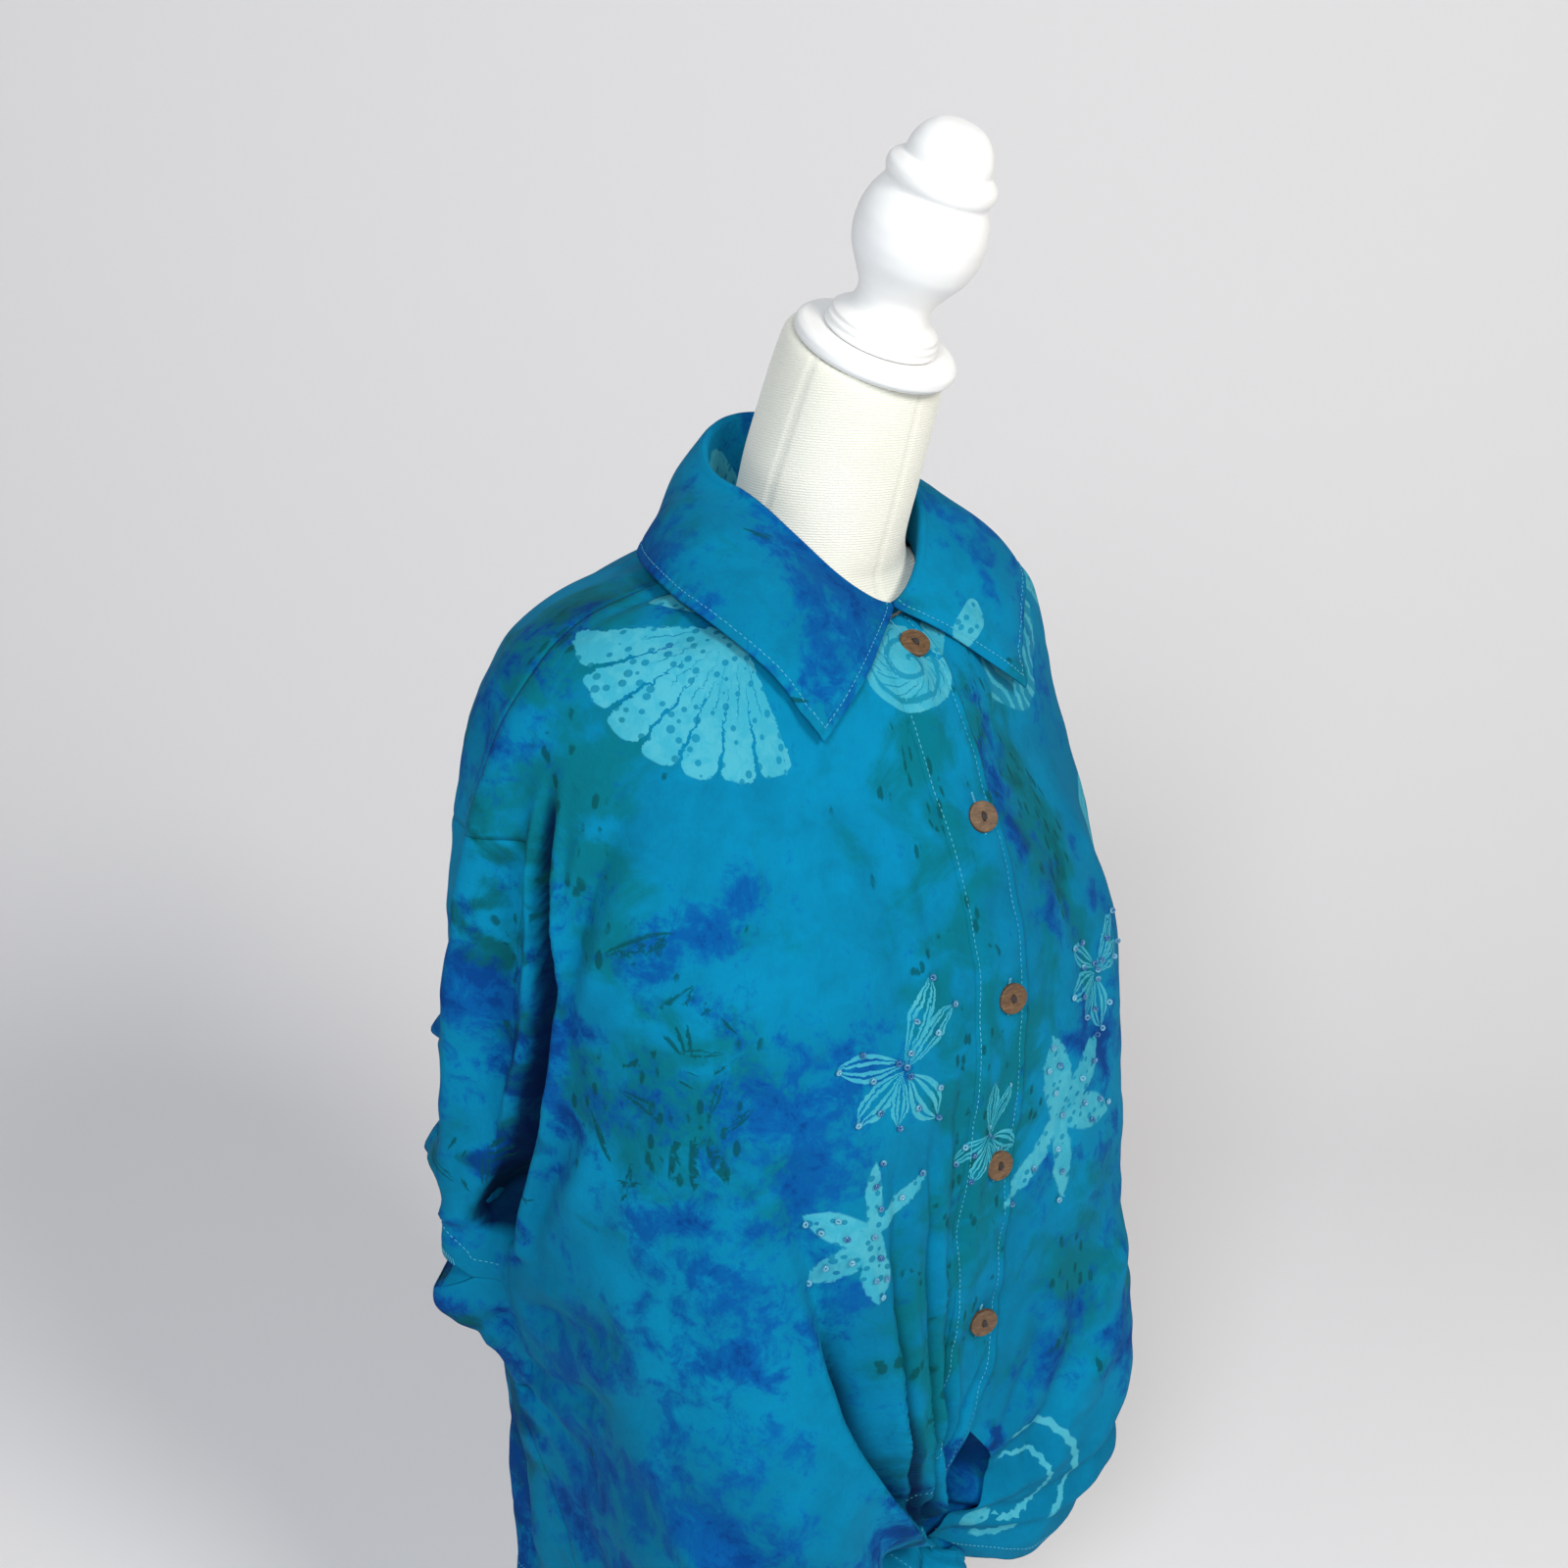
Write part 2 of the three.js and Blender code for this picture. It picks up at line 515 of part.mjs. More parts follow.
const knot = add("knot", turned(knotProfile, 20), shirt);
knot.position.set(KNOT.x, KNOT.y, KNOT.z);
knot.rotation.y = KNOT.tip * DEG;
knot.scale.set(1, KNOT.flat, 1);
for (const tail of tails) add(tail.name, wall(tailGrid(tail)), shirt);

export default group;
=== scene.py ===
"""An aloha shirt with knotted hems on a limbless dress form. Metres, +Z up, the shirt faces -Y."""

import math

import bpy
import numpy as np
from mathutils import Matrix, Vector


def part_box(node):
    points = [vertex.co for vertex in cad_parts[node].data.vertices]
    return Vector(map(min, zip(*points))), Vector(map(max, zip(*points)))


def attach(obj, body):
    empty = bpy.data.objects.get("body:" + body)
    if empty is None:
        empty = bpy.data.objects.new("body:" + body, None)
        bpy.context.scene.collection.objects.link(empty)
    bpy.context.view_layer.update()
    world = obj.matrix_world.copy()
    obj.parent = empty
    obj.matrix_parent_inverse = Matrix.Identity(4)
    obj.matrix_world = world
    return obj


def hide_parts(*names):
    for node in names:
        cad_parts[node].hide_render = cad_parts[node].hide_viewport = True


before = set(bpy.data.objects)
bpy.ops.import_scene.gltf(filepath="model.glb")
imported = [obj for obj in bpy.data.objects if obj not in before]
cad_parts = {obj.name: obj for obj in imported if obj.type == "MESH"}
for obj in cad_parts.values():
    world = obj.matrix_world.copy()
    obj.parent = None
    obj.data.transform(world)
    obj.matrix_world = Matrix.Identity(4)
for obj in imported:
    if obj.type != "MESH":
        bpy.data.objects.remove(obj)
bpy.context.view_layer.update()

scene = bpy.context.scene


# ---------- camera ----------
# A hand-held camera before the wearer's right shoulder, looking down a little, with the hem below its view.

VIEW_FROM = math.radians(-48)  # round from the shirt's front
VIEW_DOWN = math.radians(17)
VIEW_ROLL = math.radians(2)
CAMERA_PLACE = Vector((-0.921, -0.808, 1.108))
LENS = 48.4

camera = bpy.data.objects.new("camera", bpy.data.cameras.new("camera"))
scene.collection.objects.link(camera)
camera.data.lens = LENS
backward = Vector((math.sin(VIEW_FROM) * math.cos(VIEW_DOWN), -math.cos(VIEW_FROM) * math.cos(VIEW_DOWN),
                   math.sin(VIEW_DOWN)))
level = Vector((0, 0, 1)).cross(backward).normalized()
upward = backward.cross(level)
right = level * math.cos(VIEW_ROLL) + upward * math.sin(VIEW_ROLL)
turned = Matrix((right, backward.cross(right), backward)).transposed().to_4x4()
camera.matrix_world = Matrix.Translation(CAMERA_PLACE) @ turned
scene.camera = camera


# ---------- floor and light ----------
# A plain pale floor that curves up into a pale wall, under two large soft lights and an even pale sky.

FLOOR_COLOUR = (0.86, 0.845, 0.85, 1)
FLOOR_REACH = 6.0
WALL_HEIGHT = 5.0
WALL_AT = 1.9
SWEEP = 0.9  # radius of the curve between floor and wall
LIT_PLACE = Vector((0, 0, 0.65))
SKY_STRENGTH = 0.28


def new_material(name):
    material = bpy.data.materials.new(name)
    material.use_nodes = True
    return material, material.node_tree, material.node_tree.nodes["Principled BSDF"]


def mesh_object(name, points, faces, materials=(), smooth=True):
    mesh = bpy.data.meshes.new(name)
    mesh.from_pydata([tuple(p) for p in points], [], [tuple(f) for f in faces])
    mesh.update()
    mesh.polygons.foreach_set("use_smooth", [smooth] * len(mesh.polygons))
    for material in materials:
        mesh.materials.append(material)
    made = bpy.data.objects.new(name, mesh)
    scene.collection.objects.link(made)
    return made


def floor_sweep():
    profile = [(-FLOOR_REACH, 0.0), (WALL_AT - SWEEP, 0.0)]
    for step in range(1, 13):
        angle = math.pi / 2 * step / 12
        profile.append((WALL_AT - SWEEP + SWEEP * math.sin(angle), SWEEP * (1 - math.cos(angle))))
    profile.append((WALL_AT, WALL_HEIGHT))
    away = Vector((-backward.x, -backward.y, 0)).normalized()
    along = Vector((-away.y, away.x, 0))
    points = []
    for reach, height in profile:
        for side in (-FLOOR_REACH, FLOOR_REACH):
            points.append(away * reach + along * side + Vector((0, 0, height)))
    faces = [(2 * i, 2 * i + 2, 2 * i + 3, 2 * i + 1) for i in range(len(profile) - 1)]
    return points, faces


plaster, tree, shader = new_material("pale_plaster")
shader.inputs["Base Color"].default_value = FLOOR_COLOUR
shader.inputs["Roughness"].default_value = 0.9
floor = mesh_object("floor", *floor_sweep(), [plaster])


def soft_light(name, place, size, power, colour):
    light = bpy.data.lights.new(name, "AREA")
    light.shape = "DISK"
    light.size = size
    light.energy = power
    light.color = colour
    lamp = bpy.data.objects.new(name, light)
    scene.collection.objects.link(lamp)
    lamp.location = place
    lamp.rotation_mode = "QUATERNION"
    lamp.rotation_quaternion = (Vector(place) - LIT_PLACE).to_track_quat("Z", "Y")


soft_light("warm_window", (-0.5, -2.8, 2.5), 1.0, 68, (1.0, 0.965, 0.90))
soft_light("cool_window", (-2.5, -1.5, 2.2), 1.0, 62, (0.88, 0.95, 1.0))
world = bpy.data.worlds.new("pale_sky")
scene.world = world
world.use_nodes = True
world.node_tree.nodes["Background"].inputs["Color"].default_value = (0.93, 0.95, 1.0, 1)
world.node_tree.nodes["Background"].inputs["Strength"].default_value = SKY_STRENGTH
scene.view_settings.view_transform = "Standard"


# ---------- stand ----------
# A round foot and a short pole of turned wood under white satin paint. The form stands on the pole.

LATHE_SIDES = 96


def lathe(profile, sides=LATHE_SIDES):
    """A closed turned shape from (radius, height) pairs that run up its outline, from axis to axis."""
    points, faces = [Vector((0, 0, profile[0][1]))], []
    rings = profile[1:-1]
    for radius, height in rings:
        for k in range(sides):
            angle = 2 * math.pi * k / sides
            points.append(Vector((radius * math.cos(angle), radius * math.sin(angle), height)))
    points.append(Vector((0, 0, profile[-1][1])))
    last = len(points) - 1
    for k in range(sides):
        n = (k + 1) % sides
        faces.append((0, 1 + n, 1 + k))
        faces.append((last, last - sides + k, last - sides + n))
        for i in range(len(rings) - 1):
            a, b = 1 + i * sides, 1 + (i + 1) * sides
            faces.append((a + k, a + n, b + n, b + k))
    return points, faces


def rounded(profile, radius, steps=4):
    """The profile with each of its inner corners cut to an arc of about that radius."""
    made = [profile[0]]
    for before, corner, after in zip(profile, profile[1:], profile[2:]):
        b, c, a = (np.array(p, float) for p in (before, corner, after))
        cut = min(radius, 0.45 * np.linalg.norm(b - c), 0.45 * np.linalg.norm(a - c))
        start = c + (b - c) / np.linalg.norm(b - c) * cut
        end = c + (a - c) / np.linalg.norm(a - c) * cut
        for i in range(steps + 1):
            t = i / steps
            made.append(tuple((1 - t) ** 2 * start + 2 * t * (1 - t) * c + t * t * end))
    made.append(profile[-1])
    return made


def node(tree, kind, inputs=(), **settings):
    """A shader node with its settings made and its inputs linked or set, by name or place."""
    made = tree.nodes.new(kind)
    for name, value in settings.items():
        setattr(made, name, value)
    for name, value in dict(inputs).items():
        socket = made.inputs[name]
        if isinstance(value, bpy.types.NodeSocket):
            tree.links.new(value, socket)
        else:
            socket.default_value = value
    return made


def ramp(tree, factor, stops, kind="LINEAR"):
    """A colour ramp's colour, from (place, colour) pairs."""
    made = node(tree, "ShaderNodeValToRGB", {"Fac": factor})
    made.color_ramp.interpolation = kind
    while len(made.color_ramp.elements) < len(stops):
        made.color_ramp.elements.new(0.5)
    for element, (place, colour) in zip(made.color_ramp.elements, stops):
        element.position = place
        element.color = colour
    return made.outputs["Color"]


white_paint, tree, shader = new_material("white_satin_paint")
where = node(tree, "ShaderNodeTexCoord").outputs["Object"]
flow = node(tree, "ShaderNodeTexNoise", {"Vector": where, "Scale": 26.0, "Detail": 5.0}).outputs["Fac"]
tint = ramp(tree, flow, [(0.3, (0.80, 0.79, 0.775, 1)), (0.7, (0.87, 0.868, 0.86, 1))])
tree.links.new(tint, shader.inputs["Base Color"])
shine = node(tree, "ShaderNodeMapRange", {"Value": flow, "To Min": 0.34, "To Max": 0.5}).outputs["Result"]
tree.links.new(shine, shader.inputs["Roughness"])
orange_peel = node(tree, "ShaderNodeTexNoise",
                   {"Vector": where, "Scale": 420.0, "Detail": 2.0}).outputs["Fac"]
brushed = node(tree, "ShaderNodeMath", {0: orange_peel, 1: flow}, operation="ADD").outputs[0]
bump = node(tree, "ShaderNodeBump", {"Height": brushed, "Strength": 0.12, "Distance": 0.0006})
tree.links.new(bump.outputs["Normal"], shader.inputs["Normal"])

FOOT_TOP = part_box("stand_foot")[1].z
POLE_BOTTOM, POLE_TOP = (corner.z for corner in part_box("stand_pole"))
FOOT_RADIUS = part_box("stand_foot")[1].x
POLE_RADIUS = 0.016
FLANGE_RADIUS = 0.030
foot_profile = [(0, 0), (FOOT_RADIUS, 0), (FOOT_RADIUS, FOOT_TOP - 0.008),
                (FOOT_RADIUS - 0.010, FOOT_TOP - 0.003), (FOOT_RADIUS - 0.030, FOOT_TOP - 0.0012),
                (0.045, FOOT_TOP), (0, FOOT_TOP)]
pole_profile = [(0, POLE_BOTTOM), (FLANGE_RADIUS, POLE_BOTTOM), (FLANGE_RADIUS, POLE_BOTTOM + 0.005),
                (POLE_RADIUS + 0.004, POLE_BOTTOM + 0.009), (POLE_RADIUS, POLE_BOTTOM + 0.018),
                (POLE_RADIUS, POLE_TOP), (0, POLE_TOP)]
for name, profile, round_off in (("stand_foot", foot_profile, 0.003), ("stand_pole", pole_profile, 0.002)):
    turned_piece = mesh_object(f"{name}_turned", *lathe(rounded(profile, round_off)), [white_paint])
    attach(turned_piece, "root")
    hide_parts(name)


# ---------- dress form ----------
# A padded torso with a long neck and no limbs, in a stretched cover of off-white knitted jersey. The cover
# is cut in four panels, joined down the sides, the middle of the back and the middle of the front.

FORM_COLUMNS = ("z", "y", "half", "front", "back", "square", "lean")
FORM_TABLE = (
    ("bottom", .118, .022, .160, .106, .113, 2.1, 0),
    ("thigh", .160, .022, .169, .112, .120, 2.1, 0),
    ("hip", .235, .022, .172, .114, .123, 2.1, 0),
    ("high hip", .340, .020, .156, .110, .114, 2.1, 0),
    ("waist", .470, .014, .122, .100, .092, 2.1, 0),
    ("ribs", .570, .013, .134, .126, .098, 2.2, 0),
    ("bust", .655, .014, .152, .160, .106, 2.4, 0),
    ("chest", .740, .014, .166, .132, .112, 2.3, 0),
    ("shoulder", .800, .014, .186, .096, .098, 2.1, 0),
    ("slope", .846, .011, .168, .068, .080, 2, 1),
    ("neck root", .867, .006, .098, .052, .064, 2, 3),
    ("neck base", .886, .002, .057, .049, .054, 2, 8),
    ("neck", .932, -.011, .051, .048, .055, 2, 15),
    ("neck top", .988, -.031, .049, .042, .054, 2, 24),
    ("neck cut", .994, -.034, .044, .038, .047, 2, 24),
)
FORM_ROUND = 120
FORM_PER_LINE = 12
PANEL_SEAM = 0.0011  # depth of the groove along the cover's seams
DEG = math.pi / 180


def smooth(x, low, high):
    t = np.clip((x - low) / (high - low), 0, 1)
    return t * t * (3 - 2 * t)


def row_at(table, columns, place):
    """The columns' values at a place between the lines of a table, on a smooth curve through them."""
    values = np.array([line[1:] for line in table], float)
    place = np.asarray(place, float)
    i = np.clip(np.floor(place).astype(int), 0, len(values) - 2)
    t = (place - i)[..., None]
    a, b, c, d = (values[np.clip(i + k, 0, len(values) - 1)] for k in (-1, 0, 1, 2))
    found = b + 0.5 * t * (c - a + t * (2 * a - 5 * b + 4 * c - d + t * (3 * b - a - 3 * c + d)))
    return {name: found[..., k] for k, name in enumerate(columns)}


def reach(row, angle, back_square=None):
    """How far a row's outline is from its middle. Angle 0 is the front's middle, 90 the wearer's left."""
    side, ahead = np.abs(np.sin(angle * DEG)), np.cos(angle * DEG)
    depth = np.where(ahead > 0, row["front"], row["back"])
    square = np.where(ahead > 0, row["square"], row["square"] if back_square is None else back_square)
    return ((side / row["half"]) ** square + (np.abs(ahead) / depth) ** square) ** (-1 / square)


def form_rings():
    places = np.linspace(0, len(FORM_TABLE) - 1, (len(FORM_TABLE) - 1) * FORM_PER_LINE + 1)
    place, angle = np.meshgrid(places, np.arange(FORM_ROUND) * 360 / FORM_ROUND - 180, indexing="ij")
    row = row_at(FORM_TABLE, FORM_COLUMNS, place)
    seams = np.min(np.abs((angle[..., None] - np.array([-180, -90, 0, 90, 180]))), axis=-1)
    radius = reach(row, angle) - PANEL_SEAM * np.exp(-(seams / 0.9) ** 2)
    x, y = radius * np.sin(angle * DEG), -radius * np.cos(angle * DEG)
    lean = row["lean"] * DEG
    return np.stack((x, y * np.cos(lean) + row["y"], y * np.sin(lean) + row["z"]), axis=-1)


jersey, tree, shader = new_material("off_white_jersey")
where = node(tree, "ShaderNodeTexCoord").outputs["Object"]
cloudy = node(tree, "ShaderNodeTexNoise", {"Vector": where, "Scale": 9.0, "Detail": 6.0}).outputs["Fac"]
tint = ramp(tree, cloudy, [(0.3, (0.76, 0.745, 0.63, 1)), (0.72, (0.86, 0.85, 0.76, 1))])
knit = node(tree, "ShaderNodeTexWave", {"Vector": where, "Scale": 210.0, "Distortion": 2.4, "Detail": 2.0,
                                        "Detail Scale": 3.0}, bands_direction="Z").outputs["Fac"]
fuzz = node(tree, "ShaderNodeTexNoise", {"Vector": where, "Scale": 900.0, "Detail": 3.0}).outputs["Fac"]
loops = node(tree, "ShaderNodeMath", {0: knit, 1: fuzz}, operation="ADD").outputs[0]
bump = node(tree, "ShaderNodeBump", {"Height": loops, "Strength": 0.35, "Distance": 0.0007})
tree.links.new(tint, shader.inputs["Base Color"])
tree.links.new(bump.outputs["Normal"], shader.inputs["Normal"])
shader.inputs["Roughness"].default_value = 0.92
shader.inputs["Sheen Weight"].default_value = 0.35
shader.inputs["Sheen Roughness"].default_value = 0.6

rings = form_rings()
count = len(rings)
points = list(rings.reshape(-1, 3)) + [rings[0].mean(0), rings[-1].mean(0)]
faces = []
for i in range(count - 1):
    for j in range(FORM_ROUND):
        k = (j + 1) % FORM_ROUND
        faces.append((i * FORM_ROUND + j, i * FORM_ROUND + k, (i + 1) * FORM_ROUND + k,
                      (i + 1) * FORM_ROUND + j))
for j in range(FORM_ROUND):
    k = (j + 1) % FORM_ROUND
    faces.append((count * FORM_ROUND, k, j))
    faces.append((count * FORM_ROUND + 1, (count - 1) * FORM_ROUND + j, (count - 1) * FORM_ROUND + k))
torso = mesh_object("jersey_torso", points, faces, [jersey])
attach(torso, "root")
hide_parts("form_torso")


# ---------- neck cap ----------
# A flat turned plate on the cut of the neck, and on it a finial with a stepped base, ball, ring and dome.

NECK_TOP = Vector((0, -0.034, 0.994))
NECK_LEAN = 24 * DEG
LIFT = 0.0003  # gap under each turned piece
PLATE_THICK = 0.011
plate_profile = [(0, 0), (.045, 0), (.048, .003), (.048, .008), (.045, .011), (0, .011)]
finial_profile = [
    (0, 0), (.0326, 0), (.0336, .002), (.032, .004), (.033, .006), (.031, .008), (.0314, .010), (.029, .012),
    (.0236, .0154), (.0216, .021), (.0224, .0274), (.028, .0366), (.0344, .0466), (.0372, .0576),
    (.0372, .0686), (.0344, .0786), (.0294, .088), (.0318, .0924), (.0316, .098), (.027, .102),
    (.0246, .1034), (.024, .1098), (.0206, .1176), (.0134, .1244), (0, .127),
]
for name, profile, lift, round_off in (
    ("neck_plate", plate_profile, LIFT, 0.0016),
    ("neck_finial", finial_profile, PLATE_THICK + 2 * LIFT, 0.004),
):
    points, faces = lathe(rounded(profile, round_off, 5))
    leaning = Matrix.Translation(NECK_TOP) @ Matrix.Rotation(NECK_LEAN, 4, "X")
    leaning = leaning @ Matrix.Translation((0, 0, lift))
    turned_piece = mesh_object(f"{name}_turned", [leaning @ p for p in points], faces, [white_paint])
    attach(turned_piece, "root")
    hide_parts(name)


# ---------- shirt: the cloth's form ----------
# A wide, boxy body and dropped sleeves of thin dyed cotton. The back and both fronts hang from the
# shoulders, swell over the waist and are drawn in to the knot, so that every panel is a stretch of one
# surface round the form.

SHIRT_COLUMNS = ("z_front", "z_side", "z_back", "y", "half", "front", "back", "square", "belly", "sag",
                 "sleeve", "gape", "seam", "line", "left", "right", "band")
SHIRT_TABLE = (
    ("hem", .246, .212, .216, .016, .178, .13, .138, 2.3, .05, .026, 0, 0, 80, -.016, .006, -.006, .016),
    ("hip", .284, .262, .264, .016, .18, .148, .14, 2.5, .064, .015, 0, 0, 86, -.015, .022, -.012, .028),
    ("high hip", .33, .32, .326, .016, .184, .162, .141, 2.7, .058, .006, 0, 0, 95, -.014, .022, -.004, .04),
    ("underarm", .376, .372, .378, .015, .188, .17, .142, 2.8, .049, 0, .004, 0, 106,
     -.013, -.002, .01, .044),
    ("pouch", .41, .412, .418, .014, .194, .172, .143, 2.8, .039, 0, .028, 0, 109, -.013, -.017, .017, .044),
    ("lip", .438, .44, .446, .014, .2, .173, .144, 2.8, .028, 0, .041, -.006, 109, -.012, -.017, .017, .044),
    ("cuff", .464, .468, .478, .014, .205, .174, .144, 2.8, .022, 0, .032, .005, 108,
     -.012, -.017, .017, .044),
    ("ribs", .545, .57, .576, .014, .208, .176, .142, 2.8, .012, 0, .031, 0, 106, -.011, -.017, .017, .044),
    ("bust", .62, .66, .66, .014, .21, .178, .142, 2.7, .001, 0, .028, 0, 103, -.01, -.017, .017, .044),
    ("drop", .68, .74, .728, .014, .212, .172, .142, 2, -.006, 0, .022, 0, 99, -.01, -.017, .017, .044),
    ("chest", .73, .794, .78, .013, .212, .155, .138, 1.65, -.013, 0, .013, 0, 95, -.01, -.017, .017, .044),
    ("tip", .766, .834, .822, .011, .204, .135, .124, 1.6, -.015, 0, .004, 0, 92, -.01, -.017, .017, .044),
    ("shoulder", .799, .858, .856, .008, .176, .116, .102, 1.7, -.013, 0, 0, 0, 92, -.01, -.017, .017, .044),
    ("slope", .828, .873, .884, .005, .122, .094, .078, 1.8, -.005, 0, 0, 0, 92, -.01, -.017, .017, .044),
    ("neckline", .847, .884, .904, .002, .066, .064, .057, 2, 0, 0, 0, 0, 92, -.01, -.017, .017, .044),
)
LINES = {line[0]: place for place, line in enumerate(SHIRT_TABLE)}
TOP = len(SHIRT_TABLE) - 1
BACK_SQUARE = 2.15
AHEAD, BEHIND = 9, 40  # angles from a sleeve's outermost fold to its seams
BEHIND_OF = 88  # what the second is measured against, from the fold to the middle of the back
ARC = 0.0034  # metres of cloth for each degree round the body


def back_seam(fold):
    """The angle of a sleeve's back seam, from the angle of its outermost fold."""
    return fold + (180 - fold) * BEHIND / BEHIND_OF


def hump(x, middle, width):
    t = np.abs(x - middle) / (width / 2)
    return np.where(t < 1, (np.cos(np.pi * np.minimum(t, 1)) + 1) / 2, 0)


def mix(a, b, t):
    return a + (b - a) * t


def plain_point(place, angle):
    """A point of the cloth's surface with no creases, at a place of the table and an angle."""
    row = row_at(SHIRT_TABLE, SHIRT_COLUMNS, place)
    angle = (angle + 180) % 360 - 180
    size, side, ahead = np.abs(angle), np.sin(angle * DEG), np.cos(angle * DEG)
    near = np.where(ahead > 0, row["z_front"], row["z_back"])
    behind = np.clip((size - row["seam"]) / BEHIND, 0, 1)
    stand_out = smooth(size, row["seam"] - 8, row["seam"]) * (1 - behind) ** 1.5
    belly = row["belly"] * hump(size, 44, 84)
    sag = row["sag"] * hump(size, 36, 64)
    z = mix(row["z_side"], near, ahead**2) + row["gape"] * stand_out - sag
    radius = reach(row, angle, BACK_SQUARE) + row["sleeve"] * stand_out + belly
    return np.stack((radius * side + row["line"] * np.maximum(0, ahead), row["y"] - radius * ahead, z),
                    axis=-1)


def unit(v):
    return v / np.maximum(np.linalg.norm(v, axis=-1, keepdims=True), 1e-12)


def facing(place, angle, step=0.04, turn=0.6):
    """The way that the plain cloth faces."""
    along = plain_point(place, angle + turn) - plain_point(place, angle - turn)
    up = plain_point(np.minimum(place + step, TOP), angle) - plain_point(place - step, angle)
    return unit(np.cross(along, up))


def angle_at(place, x):
    """The angle at which the cloth at a place passes that x, near the middle of the front."""
    place = np.asarray(place, float)
    angle = np.zeros_like(place)
    front = row_at(SHIRT_TABLE, SHIRT_COLUMNS, place)["front"]
    for _ in range(14):
        angle = angle + (x - plain_point(place, angle)[..., 0]) / (front * DEG)
    return angle


